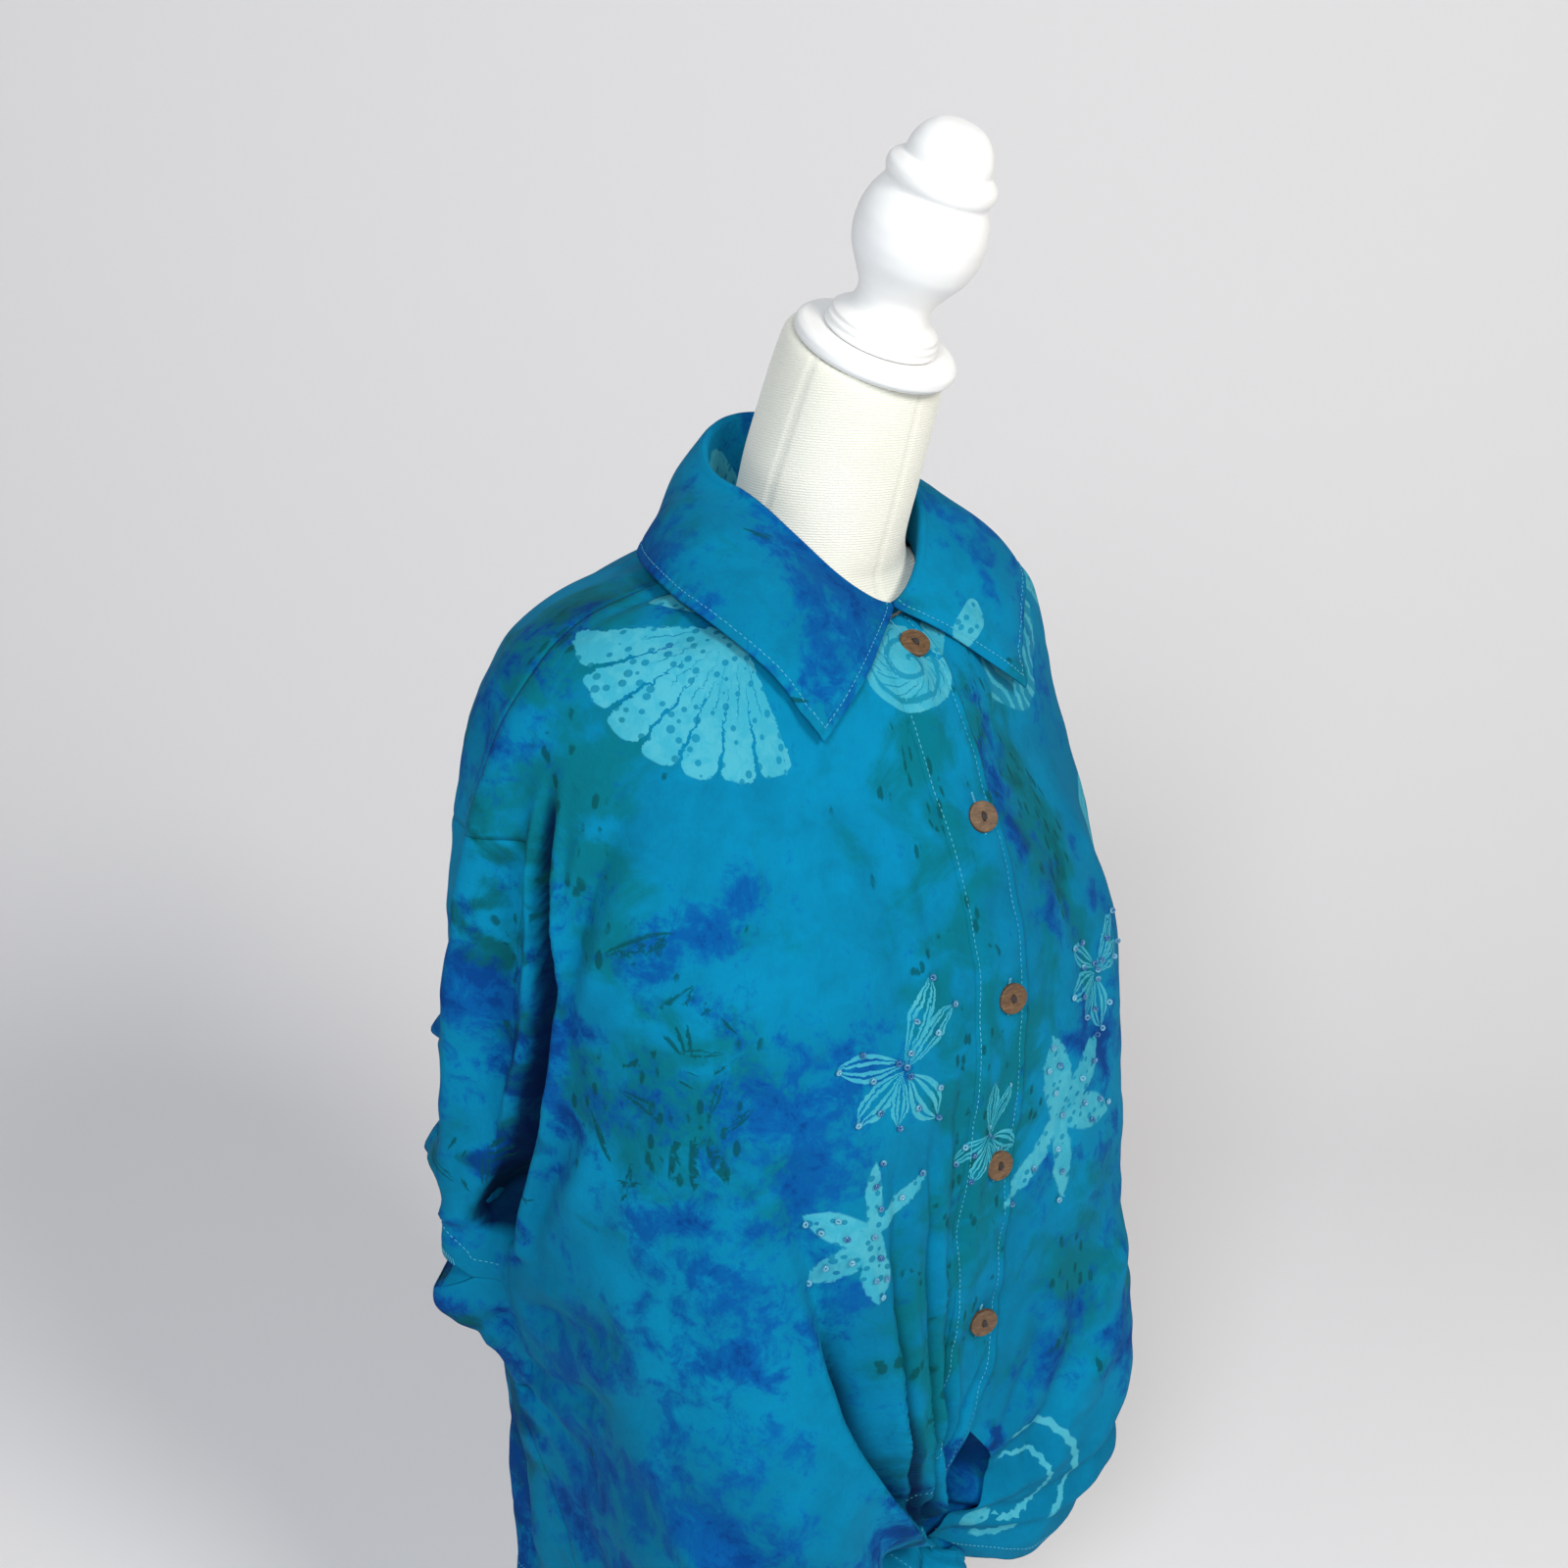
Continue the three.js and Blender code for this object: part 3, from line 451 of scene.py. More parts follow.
# Creases: their route as (angle, height) points, breadth at both ends, depth, how much of the route they take
# to deepen and to fade, and lean, which makes one side steeper. A negative depth is a ridge. Two more values
# make a fold: how square its bottom is, and from what share of its depth near-black shade is painted into it.
KNOT_AT = (-4, .286)
CREASES = (
    # right side: the deep fold between the sleeve and the front, and what runs into it
    (((-85.5, .790), (-86.5, .735), (-86.5, .680), (-88, .620), (-92.5, .565), (-98, .515), (-100.5, .482)),
     .0035, .0105, .046, .42, .10, 0, 2.8, .05),
    (((-73, .700), (-75, .640), (-79, .560), (-86, .500)), .014, .012, -.004, .5, .2, 0),
    (((-73, .775), (-79, .715), (-85, .640)), .009, .006, .0065, .4, .3, .2),
    (((-72, .640), (-84, .560), (-95, .500)), .014, .009, .0055, .5, .3, 0),
    (((-66, .470), (-84, .448), (-97, .440)), .014, .009, .0055, .5, .2, 0),
    (((-93, .850), (-99, .790), (-103, .720), (-106, .640)), .010, .012, .0045, .3, .4, 0),
    (((-104, .735), (-110, .640), (-113, .560), (-114, .480)), .006, .007, .0045, .3, .2, .3),
    (((-106, .600), (-118, .594), (-132, .584)), .0105, .0105, -.012, .4, .3, -.5),
    (((-106, .524), (-118, .515), (-134, .500)), .016, .016, -.017, .4, .3, -.4),
    (((-72, .405), (-86, .398), (-100, .392)), .010, .006, .0045, .4, .1, 0),
    (((-80, .350), (-92, .365), (-103, .375)), .009, .006, .004, .4, .1, 0),
    (((-101, .430), (-106, .412), (-110, .398)), .005, .004, .003, .3, .2, 0),
    # right side: the shoulder, crumpled beside the collar
    (((-58, .874), (-70, .872), (-82, .868)), .006, .007, .0022, .4, .3, 0),
    (((-62, .862), (-74, .856), (-86, .846)), .006, .008, .0018, .3, .4, 0),
    (((-80, .884), (-86, .872), (-90, .860)), .005, .006, .0020, .3, .3, 0),
    # right side: drawn to the knot
    (((-50, .620), (-38.5, .490), (-32, .424), (-18, .334), KNOT_AT), .0115, .0055, .034, .50, .30, .45),
    (((-28, .600), (-25, .462), (-19, .376), (-11, .318), KNOT_AT), .0060, .0030, .0150, .35, .14, .4,
     1.35, .28),
    (((-23, .500), (-20.5, .420), (-15, .345), KNOT_AT), .0050, .0028, -.0060, .4, .1, 0),
    (((-19, .600), (-17, .440), (-12.5, .350), KNOT_AT), .0050, .0028, .0150, .40, .14, .4, 1.35, .28),
    (((-15, .480), (-13, .400), (-9.5, .340), KNOT_AT), .0045, .0026, -.0050, .4, .1, 0),
    (((-12, .520), (-9.5, .400), (-7, .340), KNOT_AT), .0045, .0028, .0120, .4, .14, .3, 1.35, .28),
    (((-31, .440), (-26, .372), (-17, .314), KNOT_AT), .009, .0042, -.0070, .5, .2, 0),
    (((-38, .400), (-26, .326), (-14, .292), KNOT_AT), .012, .0045, .0100, .5, .15, .2),
    (((-66, .430), (-48, .348), (-26, .298), KNOT_AT), .018, .0055, .0130, .5, .15, .3),
    (((-52, .330), (-34, .288), (-16, .278), KNOT_AT), .010, .0045, -.006, .5, 0, 0),
    (((-72, .314), (-50, .270), (-28, .264), (-10, .270)), .020, .006, .012, .4, 0, 0),
    (((-58, .275), (-42, .244), (-26, .240), (-12, .262)), .012, .006, .008, .3, 0, 0),
    (((-36, .262), (-22, .252), (-11, .266)), .009, .005, -.005, .3, 0, 0),
    (((6, .425), (1, .398), (-4, .372), (-6, .330), KNOT_AT), .006, .004, .0080, .4, .2, .3),
    (((-9, .600), (-8, .520), (-6.5, .440)), .006, .006, .0030, .5, .4, 0),
    (((-13, .640), (-11.5, .560), (-10, .480)), .005, .006, .0028, .5, .4, .2),
    (((-17, .600), (-15.5, .520), (-13, .450)), .006, .006, -.0022, .5, .4, 0),
    # right side: soft drapes of the chest and waist
    (((-52, .800), (-50, .720), (-47, .640)), .016, .020, .0028, .5, .5, 0),
    (((-30, .770), (-26, .700), (-23, .640)), .010, .012, .0020, .4, .4, 0),
    (((-22, .800), (-19, .740), (-17, .660), (-16, .600)), .008, .009, .0020, .4, .5, 0),
    (((-40, .742), (-37, .712)), .007, .006, .0016, .4, .4, .2),
    (((-66, .560), (-62, .480), (-58, .410)), .018, .016, .0030, .5, .5, 0),
    (((-84, .330), (-80, .270), (-77, .220)), .014, .012, .0045, .4, 0, 0),
    # left side: drawn to the knot
    (((36, .560), (28, .440), (21, .345), (8, .292), (2, .280)), .022, .007, .0090, .5, .2, .2),
    (((52, .470), (40, .380), (26, .312), (8, .282)), .020, .007, .0055, .5, .2, 0),
    (((20, .470), (16, .390), (12, .330), (4, .292)), .010, .0050, .0060, .4, .1, .2),
    (((66, .372), (46, .300), (26, .276), (6, .274)), .018, .006, .0065, .5, .1, 0),
    (((64, .290), (44, .250), (24, .250), (6, .264)), .016, .006, .0065, .4, .1, 0),
    (((32, .330), (22, .300), (10, .284)), .008, .005, -.005, .4, 0, 0),
    (((27, .400), (22.5, .346), (20.5, .312), (22, .272)), .006, .0060, .0075, .4, .3, .2),
    (((30, .268), (24, .270), (18, .272)), .004, .004, .0050, .3, .3, 0),
    # left side: sleeve and drapes
    (((84, .800), (91, .730), (95, .620), (99, .520), (101, .452)), .009, .008, .022, .42, .02, .35),
    (((74, .690), (84, .620), (93, .560)), .012, .008, .0045, .4, .3, 0),
    (((92, .850), (98, .780), (104, .700), (107, .610)), .010, .012, .0045, .3, .4, 0),
    (((112, .720), (114, .620), (113, .500)), .007, .009, .0035, .3, .3, 0),
    (((122, .560), (126, .535), (123, .505)), .013, .013, -.010, .4, .4, 0),
    (((26, .740), (30, .640), (33, .560)), .012, .016, .0030, .4, .5, 0),
    (((52, .780), (55, .690), (57, .600)), .018, .020, .0035, .5, .5, 0),
    (((70, .560), (66, .470), (60, .400)), .018, .016, .0035, .5, .5, 0),
    (((82, .340), (79, .270), (76, .220)), .014, .012, .0045, .4, 0, 0),
    # back: soft vertical drapes, uneven in length and place
    (((-168, .770), (-165, .620), (-168, .450), (-171, .250)), .022, .026, .0050, .3, .05, 0),
    (((-150, .800), (-146, .640), (-143, .470)), .018, .022, .0045, .4, .4, .2),
    (((-132, .430), (-128, .330), (-125, .220)), .016, .018, .0060, .4, 0, 0),
    (((-112, .350), (-108, .280), (-105, .215)), .012, .013, .0050, .4, 0, .2),
    (((176, .560), (178, .400), (175, .230)), .018, .022, .0045, .4, 0, 0),
    (((158, .790), (155, .650), (157, .500)), .018, .022, .0045, .4, .4, 0),
    (((148, .480), (144, .350), (141, .225)), .018, .022, .0060, .4, 0, -.2),
    (((122, .400), (119, .300), (116, .220)), .014, .016, .0055, .4, 0, 0),
    (((134, .820), (128, .730), (124, .650)), .014, .016, .0045, .3, .4, 0),
    (((-136, .815), (-130, .720), (-126, .640)), .014, .016, .0045, .3, .4, 0),
)
ROUTE_STEPS = 20
SHOULDER_OF_CREASE = 0.28  # height of the low ridges beside a trough, as a share of its depth
HIGHEST_SHOULDER = 0.006
FOLD_SHADE_DEPTHS = (0.012, 0.038)  # depths at which a trough begins to take painted shade, and is fully shaded


def route(points, steps=ROUTE_STEPS):
    """A smooth curve through a few points."""
    table = [("", *point) for point in points]
    found = row_at(table, range(len(points[0])), np.linspace(0, len(points) - 1, steps + 1))
    return np.stack([found[k] for k in range(len(points[0]))], axis=-1)


def nearest_on(path, spots):
    """Signed distance from each spot to a flat path, and the share of the path before its nearest point."""
    best = np.full(len(spots), 1e9)
    signed, along = np.zeros(len(spots)), np.zeros(len(spots))
    for k, (a, b) in enumerate(zip(path[:-1], path[1:])):
        edge = b - a
        from_a = spots - a
        t = np.clip(from_a @ edge / (edge @ edge), 0, 1)
        off = from_a - t[:, None] * edge
        distance = np.hypot(off[:, 0], off[:, 1])
        closer = distance < best
        best = np.where(closer, distance, best)
        turn = np.sign(edge[0] * from_a[:, 1] - edge[1] * from_a[:, 0])
        signed = np.where(closer, distance * turn, signed)
        along = np.where(closer, (k + t) / (len(path) - 1), along)
    return signed, along


def crease_relief(angle, z, fold_shade=False):
    """Height of the creased cloth above the plain one, or how much shade is painted into its folds, 0 to 1.
    """
    spots = np.stack((angle.ravel() * ARC, z.ravel()), axis=-1)
    relief, troughs, inside = (np.zeros(len(spots)) for _ in range(3))
    for points, start, end, depth, deepen, fade, lean, *more in CREASES:
        path = route([(a * ARC, h) for a, h in points])
        reach_out = 4 * max(start, end)
        low, high = path.min(0) - reach_out, path.max(0) + reach_out
        near = np.where(np.all((spots > low) & (spots < high), axis=1))[0]
        if not len(near):
            continue
        signed, along = nearest_on(path, spots[near])
        q = signed / (mix(start, end, along) * (1 + lean * np.sign(signed)))
        sharp = more[0] if more else min(max(2 - 0.55 * abs(depth) / start, 1.35), 2)
        strength = depth * smooth(along, 0, deepen) * (1 - smooth(along, 1 - fade, 1) if fade else 1)
        middle, beside = np.exp(-np.abs(q) ** sharp), np.exp(-(((np.abs(q) - 1.9) / 0.75) ** 2))
        relief[near] += np.minimum(SHOULDER_OF_CREASE * strength, HIGHEST_SHOULDER) * beside
        if depth > 0:
            troughs[near] += (strength * middle) ** 3
            # a fold with the two more values gets painted shade in its trough, by its depth, kept in inside
            if more:
                fold_shading = smooth(strength / depth * middle, more[1], 3 * more[1])
                inside[near] = np.maximum(inside[near], fold_shading)
        else:
            relief[near] -= strength * middle
    relief -= np.cbrt(troughs)
    # painted shade: the darker of each fold's own and of the troughs' depth
    if fold_shade:
        return np.maximum(inside, smooth(-relief, *FOLD_SHADE_DEPTHS)).reshape(angle.shape)
    return relief.reshape(angle.shape)


RIPPLES = np.random.default_rng(7).uniform(0, 1, (22, 3))  # direction, start and strength of each


def ripple_relief(angle, z):
    """Slight unevenness that worn cotton has all over, a little stronger below the waist."""
    s = angle * ARC
    relief = np.zeros_like(s)
    for k, (way, start, strength) in enumerate(RIPPLES):
        length_of = mix(0.024, 0.085, k / (len(RIPPLES) - 1))
        way = math.pi * way
        along = (s * math.sin(way) - z * math.cos(way)) / (1.9 * length_of)
        bend = 0.3 * length_of * np.sin(2 * math.pi * (along + start))
        across = (s + bend) * math.cos(way) + (z + bend) * math.sin(way)
        relief += 0.0042 * length_of * (0.4 + strength) * np.sin(2 * math.pi * (across / length_of + start))
    return relief * mix(1.3, 0.7, smooth(z, 0.42, 0.66))


SEAM_GROOVE, SEAM_RIDGE = 0.0005, 0.0002


def seam_relief(place, angle):
    """The shallow groove along each sewn seam, and the low ridge of its allowance beside it."""
    row = row_at(SHIRT_TABLE, SHIRT_COLUMNS, place)
    size, z = np.abs(angle), plain_point(place, angle)[..., 2]
    behind = mix(row["seam"], 180, BEHIND / BEHIND_OF)
    at_sleeve = (place > LINES["underarm"]) & (place < LINES["drop"])
    side = np.where(at_sleeve, np.minimum(np.abs(size - row["seam"] + AHEAD), np.abs(size - behind)),
                    np.abs(size - row["seam"])) * ARC
    within = (size > row["seam"] - AHEAD) & (size < behind)
    for line in ("underarm", "drop"):
        level = plain_point(np.full_like(angle, LINES[line]), angle)[..., 2]
        side = np.where(within, np.minimum(side, np.abs(z - level)), side)
    groove = -SEAM_GROOVE * np.exp(-((side / 0.0022) ** 2))
    return groove + SEAM_RIDGE * np.exp(-(((side - 0.006) / 0.003) ** 2))


def cloth_point(place, angle, lift=0.0):
    """A point of the worn cloth, lifted along the way that the cloth faces."""
    plain = plain_point(place, angle)
    wrapped = (angle + 180) % 360 - 180
    relief = crease_relief(wrapped, plain[..., 2]) + ripple_relief(wrapped, plain[..., 2])
    relief = relief + seam_relief(place, wrapped)
    return plain + facing(place, angle) * (relief + lift)[..., None]


# ---------- shirt: dyed and wax-printed cotton ----------
# Plain-weave cotton, crumpled and dyed in clouds of turquoise, blue and green. Sea creatures were stamped
# on it in wax before its last dye bath, so they stay pale: shells, starfish, winged blossoms and bangles,
# with dots in them. Near-black shade is painted into its deep folds and into the gap above the knot.

CLOTH_SLOT = "shirt_cotton"
FAN, STARFISH, BLOSSOM, TURBAN, CONCH, SCRAP, BANGLE, SPRIG = range(8)
CHART_STEP = 4.0  # from one motif's square to the next in the chart

# Motifs: their kind, angle and place on the shirt, half width in metres and turn in degrees.
MOTIFS = (
    (SPRIG, -64, .628, .076, 0), (SPRIG, 92, .420, .070, 30), (SPRIG, -176, .800, .080, 0),
    (SPRIG, 134, .420, .070, 60), (SPRIG, -103, .530, .040, 100), (SPRIG, -58, .640, .034, 200),
    (FAN, -67.5, .826, .056, 4), (SCRAP, -79, .868, .020, 10), (TURBAN, -7, .829, .030, 0),
    (BLOSSOM, -26, .629, .042, 8), (STARFISH, -32, .538, .042, 0), (STARFISH, 20, .553, .057, 190),
    (BLOSSOM, -3, .565, .028, 35), (BLOSSOM, 32, .632, .038, -20), (CONCH, 50, .818, .058, 30),
    (BANGLE, 19.0, .292, .055, -8), (SCRAP, 15, .270, .012, 40), (SCRAP, 5, .325, .012, 60),
    (SCRAP, 16, .838, .018, 70), (CONCH, -146, .742, .060, -20), (STARFISH, 150, .700, .050, 60),
    (FAN, 172, .520, .066, 30), (BLOSSOM, -160, .600, .050, -30), (TURBAN, 126, .540, .042, 20),
    (STARFISH, -128, .420, .050, 100), (BANGLE, 148, .370, .050, 0), (BLOSSOM, -168, .330, .050, 70),
    (TURBAN, 62, .690, .040, 10), (FAN, 66, .450, .062, -60), (SCRAP, 74, .845, .026, -20),
)

# Clouds of dye: angle, height, half widths across and up in metres, then strengths of blue, green and dark.
# Some clouds are painted shade, not dye: the narrow dark ones along the right side's deep fold, at (-84,
# .600), (-87, .690), (-92, .610) and (-97, .530), and those by the knot and the gap above it, at (-24, .350),
# (-19, .330), (-5, .335) and (8, .330). The dark ones at (-108, .320) and (-116, .420) are dye and painted
# shade on the back panel.
DYE = (
    (-62, .704, .030, .026, .9, .2, 0), (-58, .690, .022, .040, .5, .3, 0),
    (-57, .602, .040, .050, .5, .9, .2), (-70, .615, .034, .032, .5, .5, 0),
    (-82, .831, .030, .034, .2, .7, 0), (-92, .850, .040, .030, .2, 1, .3),
    (-14, .600, .018, .080, 0, .8, 0), (-9, .500, .016, .060, .1, 1, .1), (6, .590, .022, .070, 0, .8, .1),
    (-22, .470, .020, .060, 0, .8, .1), (-3, .440, .012, .040, 0, .8, .2),
    (-18, .690, .022, .060, 0, .6, 0), (-92, .610, .012, .060, 1, 0, 1), (-97, .530, .010, .050, 1, 0, 1),
    (-87, .690, .012, .060, .5, .5, .8), (-6, .550, .034, .110, 0, 1, 0),
    (-15, .430, .030, .060, 0, .9, .1), (26, .440, .030, .070, 0, .8, 0),
    (-62, .550, .030, .034, .7, .2, 0), (-55, .500, .034, .026, .8, 0, 0),
    (-62, .420, .024, .036, .8, .3, .1), (-54, .350, .026, .050, 1, 0, .2),
    (-72, .470, .026, .024, .7, .4, 0), (-76, .360, .030, .030, .8, .2, 0),
    (-48, .440, .024, .030, .6, 0, 0), (-84, .330, .032, .055, 1, .1, .1),
    (-90, .420, .026, .034, .8, 0, 0), (-78, .285, .040, .022, 1, 0, .1), (-46, .300, .030, .022, .7, 0, 0),
    (-66, .300, .050, .030, .8, .2, 0), (-72, .540, .020, .020, .5, .5, 0),
    (-42, .380, .020, .030, .8, 0, .1), (-24, .350, .012, .040, 1, 0, .7),
    (-19, .330, .008, .036, 1, 0, .9), (-76, .872, .040, .016, .6, .8, .5),
    (-96, .860, .030, .024, .5, .7, .5), (-108, .320, .034, .110, 1, .2, 1),
    (-116, .420, .030, .080, .8, .3, .9), (-5, .335, .010, .030, .9, 0, .8), (8, .330, .014, .040, 1, 0, 1),
    (-74, .600, .030, .050, 0, .9, .1), (-66, .640, .020, .030, 0, .8, .2),
    (-14, .780, .034, .044, 0, .9, .2), (-8, .722, .024, .060, 0, .9, .1),
    (-22, .672, .020, .034, 0, .6, 0), (18, .700, .024, .040, .2, .7, .2),
    (12, .781, .022, .034, .2, .9, .3), (-53, .468, .028, .034, .8, 0, .1),
    (-37, .502, .012, .030, .6, 0, 0), (-55, .371, .034, .050, .9, 0, .2),
    (-67, .385, .030, .040, .9, 0, .1), (-91, .735, .012, .050, .1, 1, .5),
    (-97, .690, .012, .050, .1, .9, .8), (-94, .640, .014, .030, .2, .8, .4),
    (-80, .750, .030, .060, .1, .9, .2), (-73, .700, .026, .030, 0, .8, .1),
    (-36, .736, .030, .040, 0, .45, 0), (-20, .760, .020, .030, 0, .5, 0),
    (-14, .720, .010, .024, 0, .5, 0), (-45, .600, .040, .052, 1, 0, .2), (-36, .590, .022, .036, .8, 0, 0),
    (-50, .520, .030, .040, .6, 0, 0), (-68, .542, .030, .030, .4, .3, 0),
    (-84, .600, .014, .100, .9, 0, .5), (-98, .680, .018, .070, .5, .3, 0),
    (-100, .640, .024, .040, 1, 0, .2), (-108, .520, .020, .030, .2, .5, 0),
    (-90, .790, .020, .050, .3, .5, .2), (-100, .800, .030, .040, .5, .4, .2),
    (-60, .470, .030, .040, .5, .2, 0), (-52, .400, .040, .046, .8, 0, .1),
    (-66, .360, .030, .040, .6, .2, 0), (-78, .420, .024, .040, .5, .4, 0),
    (-46, .330, .036, .030, .9, 0, .2), (-36, .420, .020, .040, .4, 0, 0),
    (-84, .300, .020, .050, .8, .2, .5), (-70, .290, .034, .034, .7, 0, .2),
    (-32, .300, .030, .030, .7, 0, .1), (-90, .450, .020, .040, .4, 0, 0),
    (-76, .900, .030, .020, .2, .9, .1), (12, .745, .024, .040, .8, .7, .6),
    (20, .780, .018, .030, .6, .6, .4), (28, .735, .026, .080, .1, 1.1, .5),
    (8, .790, .020, .040, .2, .8, .2), (22, .690, .024, .030, .5, .1, .1), (30, .590, .026, .026, 1, 0, .5),
    (40, .640, .020, .050, .7, 0, .2), (10, .640, .020, .040, .2, .5, 0), (16, .510, .020, .040, .5, .2, 0),
    (38, .500, .040, .060, .5, 0, .1), (38, .358, .040, .030, 1, 0, .4), (22, .400, .030, .060, .5, .2, .1),
    (14, .330, .018, .040, .6, .3, .3), (50, .420, .030, .050, .3, .6, 0),
    (50, .300, .040, .030, .7, 0, .2), (60, .600, .040, .060, .2, .7, 0),
    (76, .720, .030, .050, .8, .1, .2), (84, .580, .020, .080, .6, .3, .2),
    (98, .690, .030, .050, .7, 0, .1), (104, .560, .024, .060, .4, .6, 0),
    (72, .400, .034, .040, .8, 0, .2), (84, .320, .030, .050, .3, .6, .1),
    (90, .850, .040, .030, .6, .4, .3), (58, .800, .030, .040, .7, 0, 0), (66, .540, .030, .030, .8, 0, .1),
    (120, .780, .050, .040, .8, 0, .2), (140, .640, .050, .060, .3, .8, .1),
    (128, .480, .040, .060, .9, .1, .2), (160, .760, .040, .050, .3, .7, .1),
    (176, .660, .060, .040, .8, 0, .2), (158, .420, .060, .040, .4, .7, 0),
    (176, .300, .050, .050, .8, .1, .2), (134, .300, .040, .050, .7, .2, .1),
    (112, .360, .040, .050, .3, .5, 0), (-170, .440, .040, .060, .2, .7, .1),
    (-150, .540, .050, .050, .8, 0, .1), (-134, .700, .050, .050, .7, .3, .2),
    (-120, .560, .040, .060, .8, .1, .4), (-116, .400, .040, .060, .4, .7, .4),
    (-140, .420, .050, .050, .6, .2, .2), (-156, .290, .050, .050, .4, .6, .1),
    (-124, .280, .040, .060, .8, 0, .5), (-160, .820, .050, .030, .7, .1, .1),
    (-118, .790, .040, .040, .3, .8, .2), (-104, .300, .040, .060, .5, .3, .6),
    (-106, .380, .020, .040, .3, .4, .5),
)


class Field:
    """A number that changes over the cloth, made of shader nodes as it is worked out."""

    def __init__(self, tree, value):
        self.tree, self.value = tree, value

    def of(self, kind, *others, clamp=False):
        inputs = {k: one.value if isinstance(one, Field) else one for k, one in enumerate((self, *others))}
        made = node(self.tree, "ShaderNodeMath", inputs, operation=kind, use_clamp=clamp)
        return Field(self.tree, made.outputs[0])

    def __add__(self, other):
        return self.of("ADD", other)

    def __sub__(self, other):
        return self.of("SUBTRACT", other)

    def __mul__(self, other):
        return self.of("MULTIPLY", other)

    def __truediv__(self, other):
        return self.of("DIVIDE", other)

    def less(self, other=0.0):
        return (self - other).of("ABSOLUTE")

    def rise(self, low, high):
        """0 below one value and 1 above another, and the other way round where low is the larger."""
        inputs = {"Value": self.value, "From Min": low, "From Max": high}
        made = node(self.tree, "ShaderNodeMapRange", inputs, interpolation_type="SMOOTHSTEP")
        return Field(self.tree, made.outputs["Result"])

    def both(self, other):
        return self.of("MINIMUM", other)

    def either(self, other):
        return self.of("MAXIMUM", other)


def length(x, y):
    return (x * x + y * y).of("SQRT")


def leaf(x, y, start, end, thick):
    """How far aside of a pointed leaf's middle line a place is, as a share of the leaf's half width there."""
    run = (end[0] - start[0], end[1] - start[1])
    size = math.hypot(*run)
    run = (run[0] / size, run[1] / size)
    along = ((x - start[0]) * run[0] + (y - start[1]) * run[1]) * (2 / size) - 1.0
    aside = (x - start[0]) * -run[1] + (y - start[1]) * run[0]
    width = (along * along * -1.0 + 1.04).either(0.001) * (along * 0.35 + 1.0).either(0.1) * thick
    return aside.of("ABSOLUTE") / width


def arm(x, y, tip, wide, bend=0.0):
    """Distance outside a starfish's arm, narrow at its root, full in its middle and blunt at its tip."""
    size = math.hypot(*tip)
    run = (tip[0] / size, tip[1] / size)
    along = (x * run[0] + y * run[1]) / size
    aside = (y * run[0] - x * run[1]) + (along * along) * bend
    width = (along * along * along * -1.0 + 1.0) * (along * 0.85 + 0.5) * wide
    return aside.of("ABSOLUTE") - width + along.rise(0.02, -0.25) * 0.5


THICK_STROKE = 0.06  # strokes thicker than this have a paler middle
SPRIG_STROKES = (
    ((-.55, .82), (-.02, 1.06), .07), ((-.20, .26), (.16, .72), .08), ((-.34, .04), (-.10, .15), .03),
    ((.28, .30), (.50, .10), .03), ((-.38, -.13), (.34, -.34), .07), ((.14, -.22), (.09, -.74), .04),
    ((.24, -.26), (.27, -.76), .04), ((.31, -.28), (.50, -.66), .05), ((-.62, -.36), (-.44, -.72), .03),
    ((-.24, -.66), (-.32, -1.0), .03), ((-.14, -.80), (-.38, -.86), .02), ((.16, .10), (.30, .00), .02),
)


